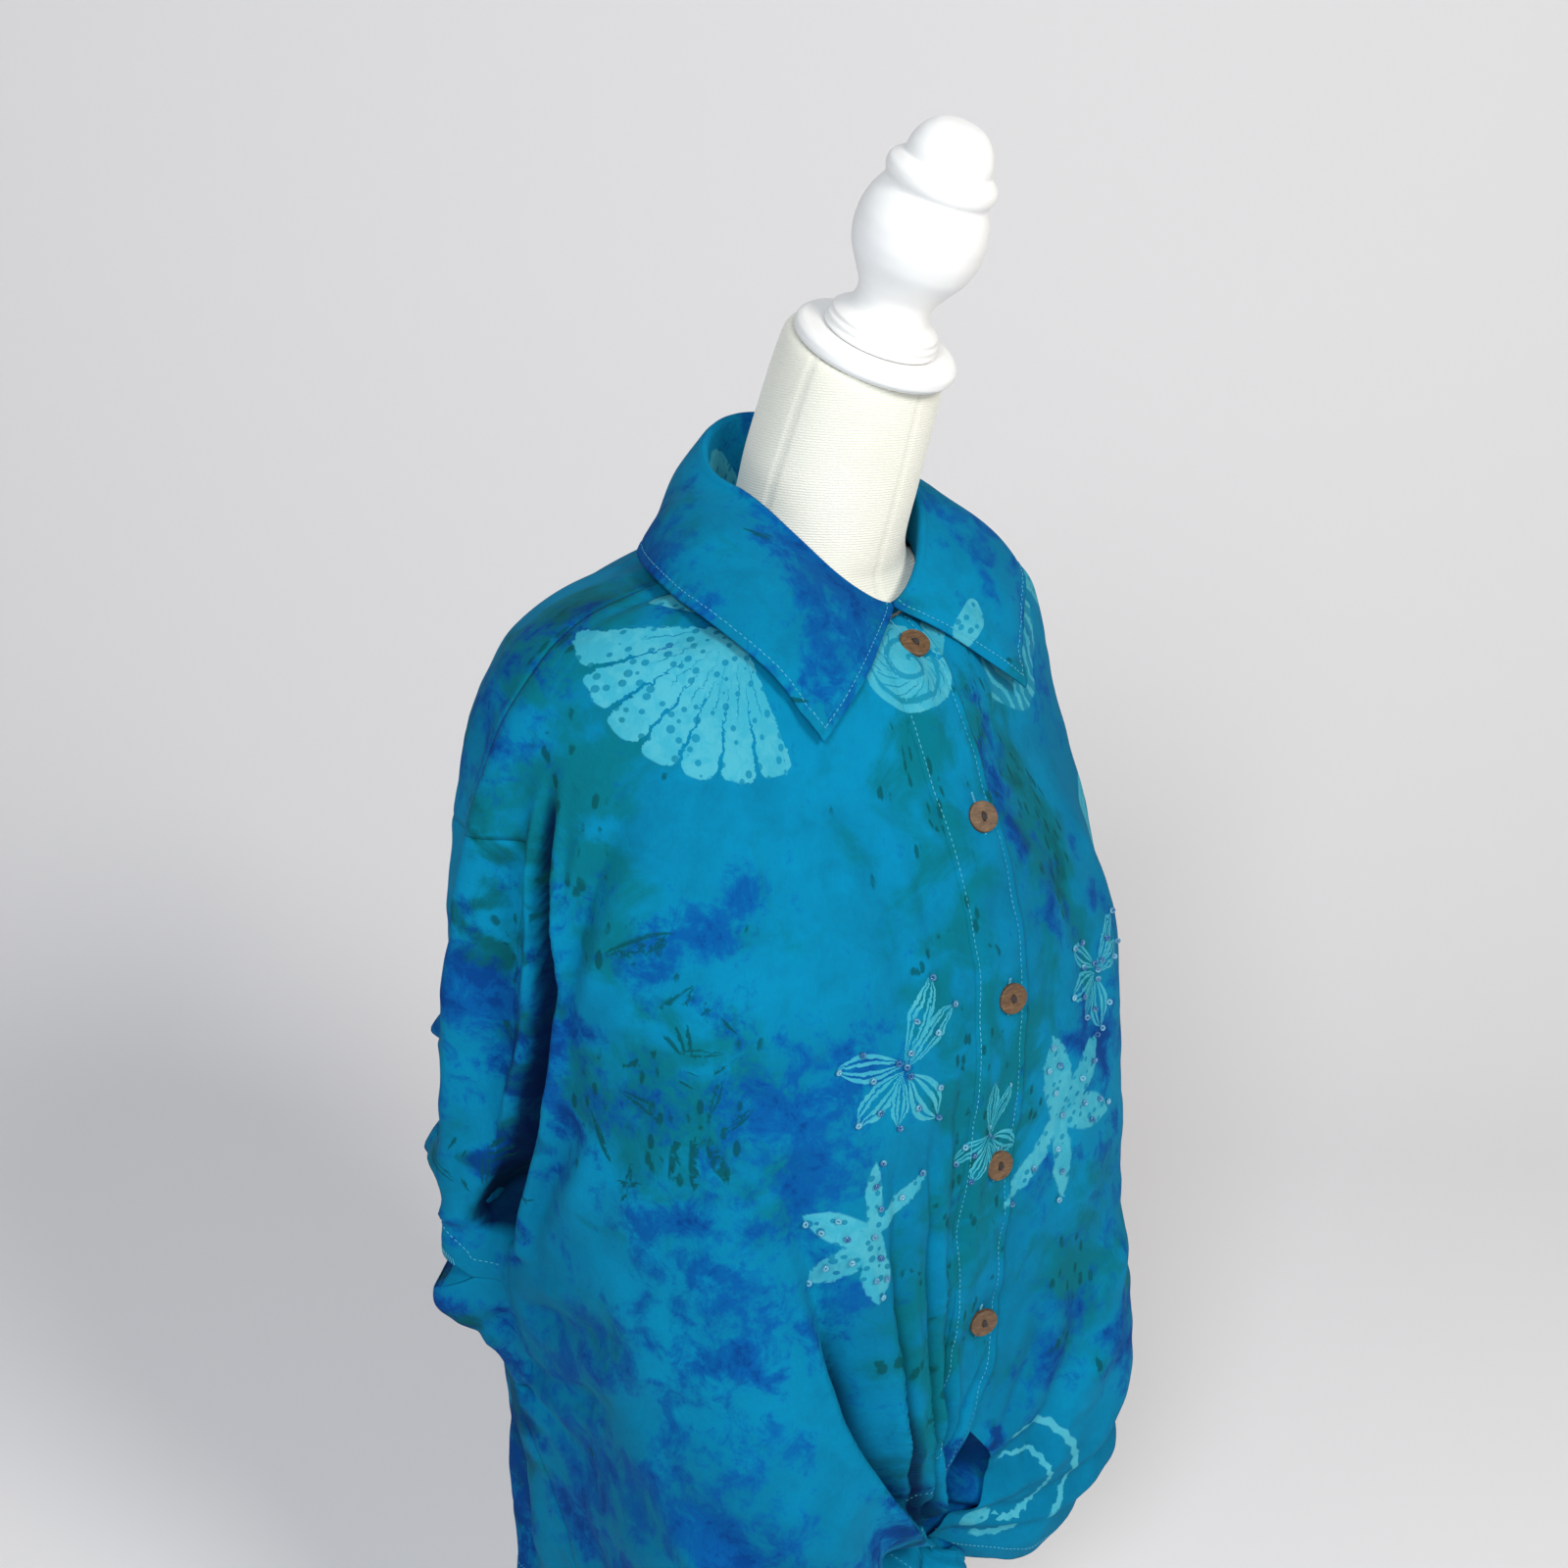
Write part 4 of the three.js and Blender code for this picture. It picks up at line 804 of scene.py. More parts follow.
def motif_masks(tree, chart, dots, wander):
    """How pale the wax left the cloth, how much dye shows in it, and where dark green was brushed on."""
    split = node(tree, "ShaderNodeSeparateXYZ", {0: chart})
    u, v = Field(tree, split.outputs["X"]), Field(tree, split.outputs["Y"])
    kind = ((u + CHART_STEP / 2) / CHART_STEP).of("FLOOR")
    x = u - kind * CHART_STEP + (wander - 0.5) * 0.16
    y = v + (wander - 0.5) * -0.13
    pale, lines = None, None

    def stamp(which, shape, inside):
        nonlocal pale, lines
        here = (kind - which).less().rise(0.4, 0.3)
        shape = shape * here
        pale = shape if pale is None else pale.either(shape)
        if inside is not None:
            lines = inside * here if lines is None else lines.either(inside * here)

    # fan: seven scalloped lobes about a hinge, parted by narrow slits
    hx, hy = x - 0.56, y - 0.62
    far = length(hx, hy)
    turn = (hy * -1.0).of("ARCTAN2", hx * -1.0)
    lobe = (turn + 0.12) * (7 / 1.98)
    part = (lobe.of("FRACT") - 0.5).of("ABSOLUTE") * 2.0
    rim = (part * part * part * part) * -0.16 + 1.52 + (turn * 3.1).of("SINE") * 0.03
    shape = (far - rim).rise(0.012, -0.012) * far.rise(0.10, 0.14)
    shape = shape * turn.rise(-0.14, -0.11) * turn.rise(1.87, 1.84)
    slit = (part - (far * -0.14 + 1.06)).rise(-0.02, 0.02) * far.rise(0.42, 0.6)
    rib = (part * -1.0 + 0.06).rise(-0.03, 0.03) * far.rise(0.30, 0.45) * far.rise(0.95, 0.80)
    shape = shape * (slit * -1.0 + 1.0)
    stamp(FAN, shape, dots.either(rib))

    # starfish: five uneven arms
    shape = arm(x, y, (0.16, 1.0), 0.17, -0.10)
    for tip, wide, bend in (((1.02, 0.66), 0.15, 0.12), ((0.16, -1.0), 0.29, 0.06),
                            ((-0.84, -0.52), 0.27, -0.08), ((-0.96, 0.36), 0.25, 0.10)):
        shape = shape.both(arm(x, y, tip, wide, bend))
    stamp(STARFISH, shape.rise(0.02, -0.02), dots)

    # blossom: petals drawn as lines within lines
    rings = None
    for start, end, thick in (((0.0, 0.02), (0.70, 0.98), 0.17), ((0.06, -0.02), (1.0, 0.50), 0.15),
                              ((-0.02, 0.06), (-1.0, 0.30), 0.17), ((-0.04, -0.04), (-0.90, -0.46), 0.19),
                              ((0.02, -0.10), (0.46, -0.92), 0.25), ((-0.08, -0.10), (-0.26, -0.76), 0.13)):
        petal = leaf(x, y, start, end, thick)
        line = (petal - 0.86).less().rise(0.20, 0.13).either((petal - 0.36).less().rise(0.17, 0.10))
        rings = line if rings is None else rings.either(line)
    stamp(BLOSSOM, rings, None)

    # turban: a coil of bands within a rounded shell with an open lip
    far = length(x * 0.92, y)
    around = y.of("ARCTAN2", x)
    coil = ((far * 2.3 + around * 0.1592) + wander * 0.1).of("FRACT")
    bands = (coil - 0.5).less().rise(0.15, 0.09)
    slanted = ((around * 2.6 + far * 5.0).of("FRACT") - 0.5).less().rise(0.11, 0.06) * far.rise(0.35, 0.5)
    stamp(TURBAN, far.rise(0.98, 0.95), bands.either(slanted) * far.rise(0.86, 0.82))

    # conch: a long shell with wavy ribs across it and a pointed foot
    width = (x * x * -0.75 + 0.62) * x.rise(-1.02, -0.5)
    wavy = y - (x * 6.0).of("SINE") * 0.03
    shape = (wavy.of("ABSOLUTE") - width).rise(0.02, -0.02) * x.less().rise(0.98, 0.95)
    ribs = (((x * 5.2 + (y * 9.0).of("SINE") * 0.32).of("FRACT")) - 0.5).less().rise(0.34, 0.27)
    stamp(CONCH, shape, ribs)

    # scrap: a small dotted leaf
    shape = length(x * 1.02, y * 1.9 + (x * 2.4).of("SINE") * 0.30)
    stamp(SCRAP, shape.rise(0.98, 0.93), dots)

    # bangle: two notched rings, both open on one side
    far, around = length(x, y), y.of("ARCTAN2", x)
    notch = ((around * 3.8).of("FRACT") - 0.5).less() * 0.07
    ring = (far - 0.86 + notch).less().rise(0.060, 0.035)
    ring = ring.either((far - 0.47 + notch).less().rise(0.045, 0.028))
    gap = (x + 0.30).rise(0.0, 0.08)
    stamp(BANGLE, ring * gap, None)

    # sprig: strokes of dark green dye, some with a gap in them
    brushed = None
    for start, end, thick in SPRIG_STROKES:
        stroke = leaf(x, y, start, end, thick) + (wander - 0.5) * 3.2
        mark = stroke.rise(1.1, 0.6) * (stroke.rise(0.15, 0.55) if thick > THICK_STROKE else 1.0)
        brushed = mark if brushed is None else brushed.either(mark)
    brushed = brushed * (wander - 0.36).rise(0.0, 0.10) * (kind - SPRIG).less().rise(0.4, 0.3)
    return pale, lines, brushed


TURQUOISE = (0.000, 0.172, 0.325, 1)
LIGHT_TURQUOISE = (0.000, 0.240, 0.445, 1)
BLUE = (0.000, 0.072, 0.330, 1)
DEEP_BLUE = (0.000, 0.030, 0.200, 1)
# near-black painted shade for the deep folds
PAINTED_FOLD_SHADE = (0.000, 0.010, 0.060, 1)
GREEN = (0.000, 0.150, 0.175, 1)
DARK_GREEN = (0.000, 0.070, 0.075, 1)
WAX_PALE = (0.080, 0.470, 0.590, 1)
WAX_DEEP = (0.045, 0.400, 0.540, 1)
WAX_LINES = (0.000, 0.230, 0.340, 1)


def blend(tree, amount, first, second):
    made = node(tree, "ShaderNodeMix", data_type="RGBA")
    for socket, value in ((made.inputs["Factor"], amount), (made.inputs["A"], first),
                          (made.inputs["B"], second)):
        value = value.value if isinstance(value, Field) else value
        if isinstance(value, bpy.types.NodeSocket):
            tree.links.new(value, socket)
        elif socket.type == "RGBA" or not hasattr(value, "__len__"):
            socket.default_value = value
    return [out for out in made.outputs if out.type == "RGBA"][0]


def noise(tree, where, scale, detail=4.0, rough=0.55, warp=0.0):
    made = node(tree, "ShaderNodeTexNoise", {"Vector": where, "Scale": scale, "Detail": detail,
                                             "Roughness": rough, "Distortion": warp})
    return Field(tree, made.outputs["Fac"])


dyed_cotton, tree, shader = new_material("dyed_cotton")
where = node(tree, "ShaderNodeTexCoord").outputs["Object"]
cloth_map = node(tree, "ShaderNodeUVMap", uv_map="cloth").outputs["UV"]
chart_map = node(tree, "ShaderNodeUVMap", uv_map="chart").outputs["UV"]
dyed = node(tree, "ShaderNodeAttribute", attribute_name="dye").outputs
dye = node(tree, "ShaderNodeSeparateColor", {0: dyed["Color"]})
blue_dye, green_dye, dark_dye_and_shade = (Field(tree, dye.outputs[k]) for k in range(3))

broad = noise(tree, where, 11.0, 4.0, 0.6, 0.6) - 0.5
feathery = noise(tree, where, 50.0, 8.0, 0.74, 0.35) - 0.5
fine = noise(tree, where, 120.0, 5.0, 0.65, 0.6)
mottled = broad * 1.5 + feathery * 3.0
blue_cloud = (blue_dye + mottled - 0.27).rise(0.0, 0.60)
# the dark channel carries dye and painted shade alike, so both clouds below also darken the shaded folds and
# the gap above the knot
deep_cloud = (blue_dye * 0.75 + dark_dye_and_shade * 0.5 + mottled * 1.1 + (fine - 0.5) - 0.72).rise(0.0, 0.5)
washed = noise(tree, where, 22.0, 6.0, 0.62, 1.0) - 0.5
green_cloud = (green_dye * 1.1 + washed * 2.6 + broad * 0.6 - 0.28).rise(0.0, 0.70)
dark_cloud = (dark_dye_and_shade * 1.2 + green_dye * 0.35 + washed * 2.0 - feathery - 0.75).rise(0.0, 0.5)
flow = noise(tree, where, 6.0, 3.0)
colour = blend(tree, (flow + feathery * 0.5).rise(0.34, 0.66), TURQUOISE, LIGHT_TURQUOISE)
colour = blend(tree, green_cloud * 0.78, colour, GREEN)
colour = blend(tree, blue_cloud * 0.80, colour, BLUE)
colour = blend(tree, dark_cloud * 0.6, colour, DARK_GREEN)
colour = blend(tree, deep_cloud * 0.65, colour, DEEP_BLUE)
# painted shade: near-black in the deep folds, with feathery edges
fold_shade = Field(tree, dyed["Alpha"])
colour = blend(tree, (fold_shade + feathery * 0.5 * fold_shade).of("MULTIPLY", 0.90, clamp=True), colour,
               PAINTED_FOLD_SHADE)
shards = node(tree, "ShaderNodeTexVoronoi", {"Vector": node(tree, "ShaderNodeMapping", {
    "Vector": cloth_map, "Rotation": (0, 0, 0.7), "Scale": (150, 62, 1)}).outputs[0], "Scale": 1.0,
    "Randomness": 1.0})
shard = Field(tree, shards.outputs["Distance"])
marks = (shard + (fine - 0.5) * 0.5).rise(0.34, 0.22)
scatter = noise(tree, cloth_map, 30.0, 2.0) - 0.5
marks = marks * (green_dye * 0.8 + scatter * 2.0 - 0.50).rise(0.0, 0.12)
colour = blend(tree, marks * 0.75, colour, DARK_GREEN)

dot_cells = node(tree, "ShaderNodeTexVoronoi", {"Vector": cloth_map, "Scale": 150.0, "Randomness": 0.62})
dot_size = Field(tree, node(tree, "ShaderNodeSeparateColor", {0: dot_cells.outputs["Color"]}).outputs[0])
dots = (Field(tree, dot_cells.outputs["Distance"]) - dot_size * 0.10).rise(0.275, 0.225)
pale, lines, brushed = motif_masks(tree, chart_map, dots, fine)
colour = blend(tree, brushed * 0.80, colour, DARK_GREEN)
wax = blend(tree, (broad * 0.8 + fine).rise(0.35, 0.65), WAX_PALE, WAX_DEEP)
under = blend(tree, 0.40, colour, WAX_LINES)
wax = blend(tree, lines * 0.80, wax, under)
colour = blend(tree, pale * 0.90, colour, wax)
slub = node(tree, "ShaderNodeTexNoise", {"Vector": node(tree, "ShaderNodeMapping", {
    "Vector": cloth_map, "Scale": (1400, 130, 1)}).outputs[0], "Scale": 1.0, "Detail": 2.0}).outputs["Fac"]
shade = (Field(tree, slub) * 0.22 + fine * 0.30).rise(-0.1, 0.75) * 0.30 + 0.72
colour = node(tree, "ShaderNodeHueSaturation", {"Value": shade.value, "Color": colour}).outputs["Color"]
tree.links.new(colour, shader.inputs["Base Color"])

yarn = node(tree, "ShaderNodeMapping", {"Vector": cloth_map, "Scale": (1900, 1900, 1)}).outputs[0]
warp_yarn = Field(tree, node(tree, "ShaderNodeTexWave", {"Vector": yarn, "Scale": 1.0}).outputs["Fac"])
weft_yarn = Field(tree, node(tree, "ShaderNodeTexWave", {"Vector": yarn, "Scale": 1.0},
                             bands_direction="Y").outputs["Fac"])
crinkle = node(tree, "ShaderNodeTexNoise", {"Vector": cloth_map, "Scale": 95.0, "Detail": 5.0,
                                            "Roughness": 0.6, "Distortion": 0.8}).outputs["Fac"]
weave = node(tree, "ShaderNodeBump", {"Height": (warp_yarn * weft_yarn).value, "Strength": 0.28,
                                      "Distance": 0.0003})
crinkled = node(tree, "ShaderNodeBump", {"Height": crinkle, "Strength": 0.40, "Distance": 0.0016,
                                         "Normal": weave.outputs["Normal"]})
tree.links.new(crinkled.outputs["Normal"], shader.inputs["Normal"])
tree.links.new((fine * 0.12 + 0.84).value, shader.inputs["Roughness"])
shader.inputs["Specular IOR Level"].default_value = 0.08


# ---------- shirt: back ----------
# One wide panel from the shoulder seams to the hem, its sides cut out for the sleeves. It hangs in folds.

CELL = 0.0029  # size of the cloth's cells
COTTON = 0.0009


def cloth_places(first, last):
    """Rows of cells between two lines of the shirt's table, with one on each line between them."""
    places = [np.array([float(first)])]
    for i in range(first, last):
        low, high = plain_point(np.array([i, i + 1.0]), np.array([70.0, 70.0]))
        steps = max(3, round(np.linalg.norm(high - low) / CELL))
        places.append(i + np.arange(1, steps + 1) / steps)
    return np.concatenate(places)


def climbs(place):
    """How far up the cloth each place is."""
    steps = np.linspace(0, TOP, 400)
    line = plain_point(steps, np.full_like(steps, 70.0))
    far = np.concatenate(([0], np.cumsum(np.linalg.norm(np.diff(line, axis=0), axis=1))))
    return np.interp(place, steps, far)


def motif_frame(motif):
    """A motif's middle on the plain cloth, and the ways across it and up it."""
    _, angle, z, half, turn = motif
    places = np.linspace(0, TOP, 600)
    heights = plain_point(places, np.full_like(places, angle))[:, 2]
    place = np.interp(z, heights, places)
    spot = np.array(place), np.array(float(angle))
    middle, out = plain_point(*spot), facing(*spot)
    across = unit(np.cross(np.array([0, 0, 1.0]), out))
    up = np.cross(out, across)
    c, s = math.cos(turn * DEG), math.sin(turn * DEG)
    return middle, (across * c + up * s) / half, (up * c - across * s) / half, out, place


STAMPED = [(motif, motif_frame(motif)) for motif in MOTIFS]
STAMP_REACH = 0.09  # how far from a motif's flat square the cloth may curve away and still take it


def cloth_object(name, points, s, t, angle=None, keep=None, wall=COTTON, stamped=STAMPED, dye=None):
    """A shell of cloth on a grid of points. s and t are places across and up the cloth in metres. Its dye is
    the table's at each angle and height, with shade painted into its deep folds, or a function of its own
    gives it from its points."""
    rows, columns = points.shape[:2]
    index = np.arange(rows * columns).reshape(rows, columns)
    corners = np.stack((index[:-1, :-1], index[:-1, 1:], index[1:, 1:], index[1:, :-1]),
                       axis=-1).reshape(-1, 4)
    if keep is not None:
        corners = corners[keep.ravel()]
    flat = points.reshape(-1, 3)
    used, corners = np.unique(corners, return_inverse=True)
    corners = corners.reshape(-1, 4)
    flat, s, t = flat[used], s.ravel()[used], t.ravel()[used]
    made = mesh_object(name, flat, corners, [dyed_cotton])
    mesh = made.data
    chart = np.full((len(corners), 4, 2), -CHART_STEP)
    face_out = np.cross(flat[corners[:, 1]] - flat[corners[:, 0]], flat[corners[:, 3]] - flat[corners[:, 0]])
    for (kind, *_), (middle, across, up, out, _) in stamped:
        x, y = (flat - middle) @ across, (flat - middle) @ up
        near = (np.abs(x) < 1.12) & (np.abs(y) < 1.12) & (np.abs((flat - middle) @ out) < STAMP_REACH)
        chosen = np.all(near[corners], axis=1) & (face_out @ out > 0)
        chart[chosen, :, 0] = kind * CHART_STEP + x[corners[chosen]]
        chart[chosen, :, 1] = y[corners[chosen]]
    for layer, values in (("cloth", np.stack((s, t), axis=-1)[corners]), ("chart", chart)):
        mesh.uv_layers.new(name=layer).data.foreach_set("uv", values.reshape(-1).astype(np.float32))
    dye_and_fold_shade = np.zeros((len(flat), 4))
    if dye is None:
        around = angle.ravel()[used]
        spread = around * ARC
        height = flat[:, 2]
        spread = spread + 0.010 * np.sin(height * 83 + 1.3) + 0.006 * np.sin(height * 191 + spread * 90)
        height = height + 0.010 * np.sin(spread * 77 + 0.4) + 0.006 * np.sin(spread * 173 - height * 60)
        for a, z, wide, high, *strengths in DYE:
            off = (spread - a * ARC + 180 * ARC) % (360 * ARC) - 180 * ARC
            cover = np.exp(-0.7 * ((off / wide) ** 2 + ((height - z) / high) ** 2))
            dye_and_fold_shade[:, :3] = np.maximum(dye_and_fold_shade[:, :3], cover[:, None] * np.array(strengths))
        # the alpha channel holds painted shade in the folds, from the creases' depth
        dye_and_fold_shade[:, 3] = crease_relief(around, flat[:, 2], fold_shade=True)
    else:
        dye_and_fold_shade[:, :3] = dye(flat)
    mesh.color_attributes.new("dye", "FLOAT_COLOR", "POINT").data.foreach_set("color", dye_and_fold_shade.reshape(-1))
    shell = made.modifiers.new("cloth", "SOLIDIFY")
    shell.thickness = wall
    shell.offset = -1
    shell.use_even_offset = False
    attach(made, "root")
    return made


ALL_PLACES = cloth_places(0, TOP)
ROWS_THERE = row_at(SHIRT_TABLE, SHIRT_COLUMNS, ALL_PLACES)
SEAM_THERE = ROWS_THERE["seam"]
BEHIND_THERE = back_seam(SEAM_THERE)


def sleeve_rows(place):
    """Which rows of cells lie between the sleeve's two ends, by the place of each cell's lower edge."""
    return (place[:-1, :-1] > LINES["underarm"] - 1e-6) & (place[:-1, :-1] < LINES["drop"] - 1e-6)


# The outer columns on both sides follow the side seams, and the next ones in follow the sleeves' seams.
SIDE_COLUMNS = 24
middle_columns = round((180 - BEHIND_THERE.min()) * ARC / CELL) * 2
back_share = np.concatenate((np.linspace(-2, -1, SIDE_COLUMNS, endpoint=False),
                             np.linspace(-1, 1, middle_columns, endpoint=False),
                             np.linspace(1, 2, SIDE_COLUMNS + 1)))
reach_behind = (180 - BEHIND_THERE)[:, None]
rest_behind = (BEHIND_THERE - SEAM_THERE)[:, None]
from_middle = np.where(np.abs(back_share) <= 1, back_share * reach_behind,
                       np.sign(back_share) * (reach_behind + (np.abs(back_share) - 1) * rest_behind))
angle = 180 + from_middle
place = np.broadcast_to(ALL_PLACES[:, None], angle.shape)
cell_share = (back_share[:-1] + back_share[1:]) / 2
keep = ~(sleeve_rows(place) & (np.abs(cell_share) > 1)[None, :])
back = cloth_object("shirt_back", cloth_point(place, angle), angle * ARC, climbs(place),
                    angle=(angle + 180) % 360 - 180, keep=keep)
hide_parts("back")


# ---------- shirt: fronts ----------
# Two panels from the shoulders to their tied hems. The right one ends at the closing band's stitches, and
# the left one runs on under the band to its free edge. Low down both are pulled in folds to the knot.

FRONT_COLUMNS = 150
CROWDED = 0.68  # how much the columns crowd at both ends, where the folds are narrow
PAST_BAND = 0.018  # how far the left front's free edge is drawn aside above the knot
left_reach = ROWS_THERE["line"] + ROWS_THERE["left"] + PAST_BAND * hump(ALL_PLACES, 1.55, 2.4)
LEFT_EDGE = angle_at(ALL_PLACES, left_reach)
RIGHT_EDGE = angle_at(ALL_PLACES, ROWS_THERE["line"] + ROWS_THERE["right"] - ROWS_THERE["band"])
for side, sign, edge in (("right", -1, RIGHT_EDGE), ("left", 1, LEFT_EDGE)):
    inner = sign * (SEAM_THERE - AHEAD)
    share = np.linspace(0, 1, FRONT_COLUMNS, endpoint=False)
    share = np.concatenate((share - CROWDED * np.sin(2 * math.pi * share) / (2 * math.pi),
                            np.linspace(1, 2, 11)))
    angle = np.where(share <= 1, edge[:, None] + (inner - edge)[:, None] * share,
                     inner[:, None] + sign * AHEAD * (share - 1))
    if sign < 0:
        angle, share = angle[:, ::-1], share[::-1]
    place = np.broadcast_to(ALL_PLACES[:, None], angle.shape)
    cell_share = (share[:-1] + share[1:]) / 2
    keep = ~(sleeve_rows(place) & (cell_share > 1)[None, :])
    front = cloth_object(f"shirt_front_{side}", cloth_point(place, angle), angle * ARC, climbs(place),
                         angle=angle, keep=keep)
    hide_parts(f"front_{side}")

# the left front's facing turns in from its free edge, and shows in the gap above the knot
UNDER = 0.0012  # from the cloth down to a layer that lies under it
FACING_TOP = 4.6
FACING_LAP, FACING_ANGLES = 3, 30  # from the free edge to its fold, and from there to its inner edge
FACING_DEPTH, FACING_WAVES = 0.0305, 0.005
low = ALL_PLACES < FACING_TOP
share = np.linspace(0, 1, 30)
angle = LEFT_EDGE[low][:, None] + FACING_LAP - FACING_ANGLES * share
place = np.broadcast_to(ALL_PLACES[low][:, None], angle.shape)
waving = FACING_DEPTH + FACING_WAVES * np.sin(place * 4 + 5 * share)
depth = UNDER + waving * np.sin(np.minimum(share * 1.5, 1) * math.pi / 2)
points, s = cloth_point(place, angle, -depth)[:, ::-1], (angle * ARC)[:, ::-1]


def facing_dye_and_shade(flat):
    """Deep blue dye with painted shade, darker high up in the gap than at the knot."""
    dark = smooth(flat[:, 2], 0.285, 0.340)
    return np.stack((np.full(len(flat), 0.9), 0.3 * dark, 0.4 + 1.3 * dark), axis=-1)


facing_piece = cloth_object("shirt_left_facing", points, s, climbs(place), stamped=(), dye=facing_dye_and_shade)


# ---------- shirt: sleeves ----------
# Short, wide sleeves set low on the arm. With no arm in them they fall shut, each mouth a narrow opening.

# A mouth's corners are at shares of the sleeve's way from its front seam to its back one, and on one line.
# Its two sides part above and below that line.
MOUTH_START, MOUTH_END = 5 / 49 + 0.02, 0.72
MOUTH_LINE, CUFF_ABOVE, LIP_BELOW = 5.62, 0.38, 0.50
MOUTH_ROWS, SLEEVE_ROWS, SLEEVE_COLUMNS = 30, 96, 66
SLEEVE_DEEP = 0.030  # how far back the sleeve's back lies in the mouth


def mouth_opening(share, start=MOUTH_START):
    """How far open the mouth is across the sleeve, from 0 at its corners to 1."""
    within = np.clip((share - start) / (MOUTH_END - start), 0, 1)
    return np.sin(np.pi * within) ** 0.55


def sleeve_angle(place, share):
    fold = row_at(SHIRT_TABLE, SHIRT_COLUMNS, place)["seam"]
    return fold - AHEAD + (back_seam(fold) - fold + AHEAD) * share


for side, sign in (("right", -1), ("left", 1)):
    # the columns crowd at the front seam, where the deep fold is
    share = np.linspace(0, 1, SLEEVE_COLUMNS)
    share = 0.35 * share + 0.65 * share ** 2
    opening = mouth_opening(share)
    cuff_line = MOUTH_LINE + CUFF_ABOVE * opening
    lip_line = MOUTH_LINE - LIP_BELOW * opening
    parts = []
    for rows, low_line, high_line in (
        (np.linspace(0, 1, MOUTH_ROWS), np.full_like(share, float(LINES["underarm"])), lip_line),
        (np.linspace(0, 1, SLEEVE_ROWS), cuff_line, np.full_like(share, float(LINES["drop"]))),
    ):
        place = low_line + (high_line - low_line) * rows[:, None]
        parts.append((place, sleeve_angle(place, share)))
    place = np.concatenate([part[0] for part in parts])
    angle = sign * np.concatenate([part[1] for part in parts])
    points = cloth_point(place, angle)
    # the mouth is the row of cells between the two parts
    keep = np.ones((len(place) - 1, len(share) - 1), bool)
    keep[MOUTH_ROWS - 1] = False
    s, t = angle * ARC, climbs(place)
    if sign < 0:
        points, s, t, angle, keep = points[:, ::-1], s[:, ::-1], t[:, ::-1], angle[:, ::-1], keep[:, ::-1]
    sleeve = cloth_object(f"shirt_sleeve_{side}", points, s, t, angle=angle, keep=keep)
    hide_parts(f"sleeve_{side}")

    # the back of the sleeve, seen through its mouth
    rows = np.linspace(0, 1, MOUTH_ROWS)
    place = lip_line + rows[:, None] * 1.3
    angle = sign * sleeve_angle(place, share)
    depth = -UNDER - SLEEVE_DEEP * np.sin(rows[:, None] * math.pi / 2) ** 0.8 * (0.25 + 0.75 * opening)
    points = cloth_point(place, angle, depth)
    s, t = angle * ARC, climbs(place)
    if sign < 0:
        points, s, t, angle = points[:, ::-1], s[:, ::-1], t[:, ::-1], angle[:, ::-1]
    inside = cloth_object(f"shirt_sleeve_back_{side}", points, s, t, angle=angle)


# ---------- shirt: closing band ----------
# A doubled strip of the same cotton sewn down the right front's edge. It laps over the left front, and the
# buttons sit along its middle.

BAND_RAISED = 0.0025
BAND_RIM, BAND_GROOVE, BAND_LOOSE = 0.0007, 0.0006, 0.0009
BAND_WALL = 0.0013
BAND_COLUMNS = 26
across = np.linspace(0, 1, BAND_COLUMNS + 1)


def band_angle(places, across):
    """The angle on the shirt of a line down the band, from 0 at its stitches to 1 at its free edge."""
    row = row_at(SHIRT_TABLE, SHIRT_COLUMNS, places)
    return angle_at(places, row["line"] + row["right"] - row["band"] * (1 - across))


def band_lift(place, across):
    """Height of the band over the front under it, with its rim and stitched groove. It is loose low down."""
    edge = BAND_RIM * np.exp(-(((across - 0.97) / 0.03) ** 2))
    edge = edge - BAND_GROOVE * np.exp(-(((across - 0.90) / 0.03) ** 2))
    loose = BAND_LOOSE * smooth(place, 9, 5) * (1 + np.sin(place * 5.3)) * smooth(across, 0.5, 1)
    return BAND_RAISED * smooth(across, 0, 0.2) + edge + loose


angle = np.stack([band_angle(ALL_PLACES, np.full_like(ALL_PLACES, share)) for share in across], axis=1)
place = np.broadcast_to(ALL_PLACES[:, None], angle.shape)
band = cloth_object("closing_band", cloth_point(place, angle, band_lift(place, across[None, :])),
                    angle * ARC, climbs(place), angle=angle, wall=BAND_WALL)
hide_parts("front_band_right")


# ---------- shirt: collar ----------
# A folded shirt collar with long pointed wings, of two layers turned out and stitched 5 mm inside their
# edges. It stands round the neck, rolls over, and its fall lies loosely on the shoulders.

